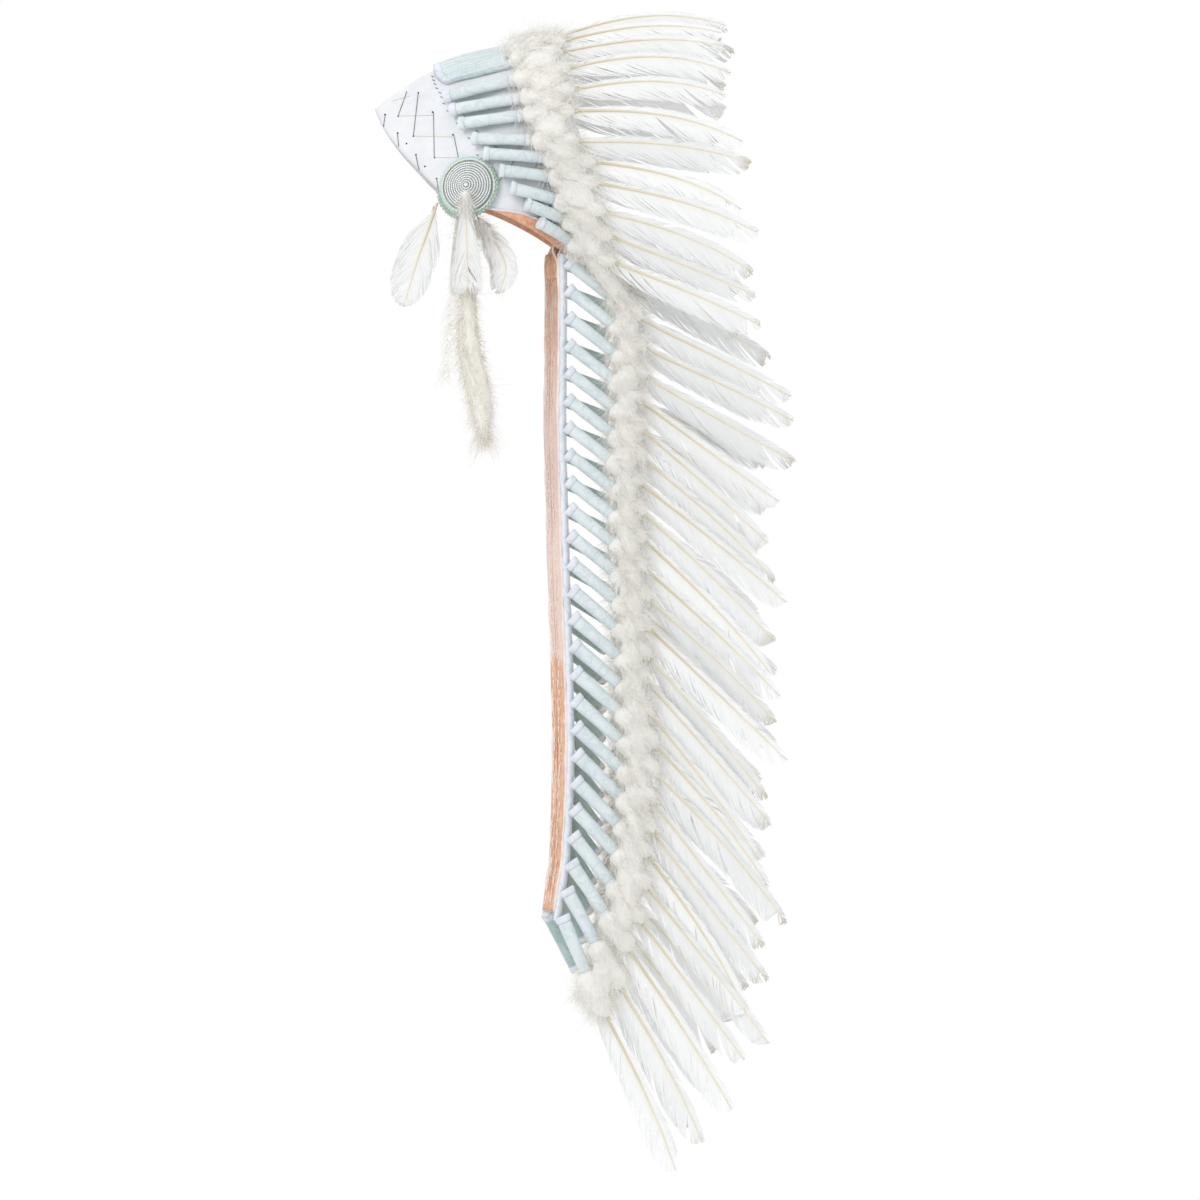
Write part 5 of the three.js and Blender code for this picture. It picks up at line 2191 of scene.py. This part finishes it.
    def build_fur(self) -> Piece:
        """Models the drop of fur as a soft core with strands hanging off it."""
        y = self.back[1] + self.side.value * self.fur_out
        rows = np.array([[x, y, z, share] for x, z, share in self.fur_line], float)
        shares = np.linspace(0, 1, 61)
        made = catmull(rows, shares)
        points = made[:, :3]
        along = unit(np.gradient(points, axis=0))
        rise = across_of(along)
        shaft = Shaft.of(points, rise, np.cross(along, rise))
        width = made[:, 3] * self.fur_radius

        def radius(share: Array) -> Array:
            """The drop's radius by share of its length."""
            return np.interp(share, shares, width)

        batch = Batch()
        span = (0, shaft.length - 3)
        self.feathering.down(batch, shaft, span, radius, 3800, (6, 13), 0.76, 0.7, 2.0, 0.14)
        lower = Shaft.of(points[26:], rise[26:], shaft.face[26:])
        for sides in ((-1.0, -0.5), (0.5, 1.0)):
            self.feathering.wisps(batch, lower, 150, (14, 32), sides)
        knots = np.array([(-2, y, -92), (-9, y, -130), (-13, y, -170), (-16, y, -204)], float)
        thin = Shaft.of(catmull(knots, shares), rise, shaft.face)
        self.feathering.wisps(batch, thin, 150, (8, 22), (-1.0, 0.7))
        return batch.hand_over(
            f"fur_drop_strands_{self.side.word}", [FUR], "fur", f"fur_drop_{self.side.word}"
        )

    def build(self) -> None:
        """Builds the rosette and all that hangs from it."""
        self.build_felt()
        self.build_trim()
        self.build_disc()
        self.build_feathers()
        self.build_fur()


# ------------------------------------------------------------------ the headdress


@dataclass
class Headdress:
    """The whole headdress, built from the cap outwards."""

    seed: int = 74
    strands: int = 820
    bridge_strands: int = 560
    join_strands: int = 1500
    widest_bridge: float = 34.0
    widest_join: float = 90.0
    join_radius: float = 1.12

    def vary(self, plume: Plume, rng: np.random.Generator) -> Shaft:
        """Gives a plume its own small differences, and then its shaft."""
        plume.droop += rng.normal(0, 2.3)
        plume.sag += rng.normal(0, 4.0)
        plume.roll += rng.normal(0, 8.0)
        plume.length *= 1 + rng.uniform(-0.07, 0.02)
        plume.down_from += rng.normal(0, 1.5)
        plume.down_to += rng.normal(0, 2.5)
        return plume.shaft()

    def bridge(self, fluff: Batch, first: "Hung", second: "Hung", feathering: Feathering) -> None:
        """Fills the down in from one feather to the next.

        Args:
            fluff: Where the down goes.
            first, second: The feathers, with their shafts.
            feathering: Makes the down.
        """
        ends, ways = [], []
        for hung in (first, second):
            middle = np.array([(hung.plume.down_from + hung.plume.down_to) / 2])
            point, along, _, _ = hung.shaft.at(middle)
            ends.append(point[0])
            ways.append(along[0])
        gap = float(np.linalg.norm(ends[0] - ends[1]))
        joins = ("crown" in first.node) != ("crown" in second.node)
        if gap > self.widest_join or (gap > self.widest_bridge and not joins):
            return
        shares = np.linspace(0, 1, 9)[:, None]
        path = mix(*ends, shares)
        reach = (first.plume.down_to - first.plume.down_from) / 2
        fuller = self.join_radius if joins else feathering.rng.uniform(0.92, 1.02)
        radius = first.plume.fluff_radius * fuller
        way = unit(mix(*ways, shares)) * reach * 0.9 / radius
        face = unit(np.cross(path[-1] - path[0], way)) * 0.95
        shaft = Shaft.of(path, way, face)
        strands = self.join_strands if joins else self.bridge_strands
        span = (-7, shaft.length + 7)

        def even(share: Array) -> Array:
            """The same radius all along."""
            return np.full_like(share, radius)

        feathering.down(fluff, shaft, span, even, strands, (8, 16), 0.68)

    def build_feathers(self, chain: list["Hung"], feathering: Feathering) -> None:
        """Builds the feathers and their down, in the runs that the CAD has.

        Args:
            chain: Every feather in order from one foot of the trailer over the top to the other.
            feathering: Makes the vanes and the down.
        """
        rng = feathering.rng
        vanes: dict[str, Batch] = {}
        fluffs: dict[str, Batch] = {}
        for hung in chain:
            plume = hung.plume
            hung.shaft = self.vary(plume, rng)
            vane = vanes.setdefault(hung.node, Batch())
            fluff = fluffs.setdefault(hung.node, Batch())
            start = plume.down_to - 16
            feathering.feather(vane, hung.shaft, start, FLIGHT_VANE, rng.uniform(0.93, 1.05))
            tie, _, _, _ = hung.shaft.at(plume.down_to + np.array([-5, -3, -1, 1.0, 2.5]))
            vane.tube(tie, np.array([1.4, 2.3, 2.5, 2.2, 1.4]), 8, 0.5, part=2)
            radius = lump(plume.fluff_radius * rng.uniform(0.9, 1.0))
            span = (plume.down_from, plume.down_to)
            shape = (self.strands, (8, 17), 0.66, 0.25, 2.0, 0.1)
            feathering.down(fluff, hung.shaft, span, radius, *shape)
        for first, second in pairwise(chain):
            self.bridge(fluffs[second.node], first, second, feathering)
        for node, batch in vanes.items():
            batch.hand_over(node.replace("plumes", "vanes"), [VANE, SHAFT, TIE], "feather", node)
            fluffs[node].hand_over(node.replace("plumes", "fluff"), [DOWN], "feather", node)

    def build(self) -> None:
        """Builds every piece in order."""
        feathering = Feathering(np.random.default_rng(self.seed))
        cap, wrap = Cap(), QuillWrap()
        cap.build()
        cap.build_neck_band()
        for side in Side:
            Lacing(cap).build(side)
        wrap.model()
        crown = Crown(cap, wrap, feathering)
        panel = Panel(cap)
        panel.build()
        panel.build_seams()
        trailer = Trailer()
        strip = trailer.build_strip()
        with_it = [trailer.build_trim(feathering.rng), trailer.build_tongue(cap)]
        trailer.build_ends()
        hanging = trailer.build_rows(wrap, feathering)
        halves = {}
        for side in Side:
            crowned = runs(crown.build_side(side), crown.per_plume, f"crown_plumes_{side.word}")
            trailing = runs(hanging[side], trailer.per_plume, f"trailer_plumes_{side.word}")
            halves[side] = crowned + trailing
        top = panel.plumes(crown.fluff_length, crown.fluff_radius)
        over_top = runs(top[:3] + top[:2:-1], 6, "crown_plumes_top")
        self.build_feathers(halves[Side.LEFT][::-1] + over_top + halves[Side.RIGHT], feathering)
        for side in Side:
            Rosette(cap, side, feathering).build()


@dataclass
class Hung:
    """A feather in its row, with the CAD node that stands for it."""

    node: str
    plume: Plume
    shaft: Shaft | None = None


def runs(plumes: list[Plume], per_run: int, stem: str) -> list[Hung]:
    """Numbers feathers by the runs that the CAD has, or gives all of them one node."""
    if len(plumes) <= per_run:
        return [Hung(stem, plume) for plume in plumes]
    return [Hung(f"{stem}_{k // per_run + 1}", plume) for k, plume in enumerate(plumes)]


# ------------------------------------------------------------------ the studio


@dataclass
class Studio:
    """The camera, the soft lights, the white surround and the pale floor."""

    aim: tuple[float, float, float] = (0.138, 0.0, -0.425)
    azimuth: float = -2.5
    elevation: float = 0.9
    distance: float = 9.0
    lens: float = 270.0
    floor: float = -1.2
    floor_radius: float = 0.9

    def camera(self) -> None:
        """Puts the camera level with the middle of the headdress."""
        turn, climb = math.radians(self.azimuth), math.radians(self.elevation)
        level = math.cos(climb)
        away = Vector((math.sin(turn) * level, -math.cos(turn) * level, math.sin(climb)))
        data = bpy.data.cameras.new("camera")
        data.lens, data.sensor_width = self.lens, 36.0
        data.clip_start, data.clip_end = 0.05, 60.0
        camera = bpy.data.objects.new("camera", data)
        camera.location = Vector(self.aim) + away * self.distance
        camera.rotation_euler = (-away).to_track_quat("-Z", "Y").to_euler()
        bpy.context.scene.collection.objects.link(camera)
        bpy.context.scene.camera = camera

    def light(self, name: str, place: Sequence[float], size: float, power: float) -> None:
        """Adds a square soft light that looks at the headdress."""
        data = bpy.data.lights.new(name, "AREA")
        data.size, data.energy = size, power
        light = bpy.data.objects.new(name, data)
        light.location = place
        inward = Vector(self.aim) - Vector(place)
        light.rotation_euler = inward.to_track_quat("-Z", "Y").to_euler()
        bpy.context.scene.collection.objects.link(light)

    def surround(self) -> None:
        """Makes the surround white to the eye and softer as a light."""
        world = bpy.data.worlds.new("white surround")
        world.use_nodes = True
        world.node_tree.nodes.clear()
        nodes = Nodes(world.node_tree)
        soft = nodes.add("ShaderNodeBackground", {"Color": (1, 1, 1, 1), "Strength": 0.8})
        seen = nodes.add("ShaderNodeBackground", {"Color": (1, 1, 1, 1), "Strength": 1.0})
        eye = nodes.add("ShaderNodeLightPath").outputs["Is Camera Ray"]
        both = nodes.add("ShaderNodeMixShader", {0: eye, 1: soft.outputs[0], 2: seen.outputs[0]})
        nodes.add("ShaderNodeOutputWorld", {"Surface": both.outputs[0]})
        bpy.context.scene.world = world
        bpy.context.scene.view_settings.view_transform = "Standard"

    def ground(self) -> None:
        """Lays the pale floor under the headdress."""
        fresh_start()
        place = (*self.aim[:2], 0.0)
        bpy.ops.mesh.primitive_circle_add(
            vertices=96, radius=self.floor_radius, fill_type="NGON", location=place
        )
        disc = bpy.context.object
        disc.name = "floor"
        in_edit_mode(
            disc,
            lambda: bpy.ops.transform.translate(value=(0, 0, self.floor)),
            lambda: bpy.ops.mesh.inset(thickness=self.floor_radius * 0.3),
        )
        dress(disc, [PALE_FLOOR])

    def build(self) -> None:
        """Sets up everything that isn't the headdress."""
        self.camera()
        self.light("key", (-2.4, -3.0, 2.2), 2.0, 66)
        self.light("fill", (3.2, -2.6, -0.4), 2.4, 12)
        self.light("back", (0.6, 3.4, 1.2), 2.4, 22)
        self.surround()
        self.ground()


def main() -> None:
    """Builds the studio and the headdress."""
    logging.basicConfig(level=logging.INFO, format="%(name)s: %(message)s")
    Studio().build()
    Headdress().build()


if __name__ == "__main__":
    main()
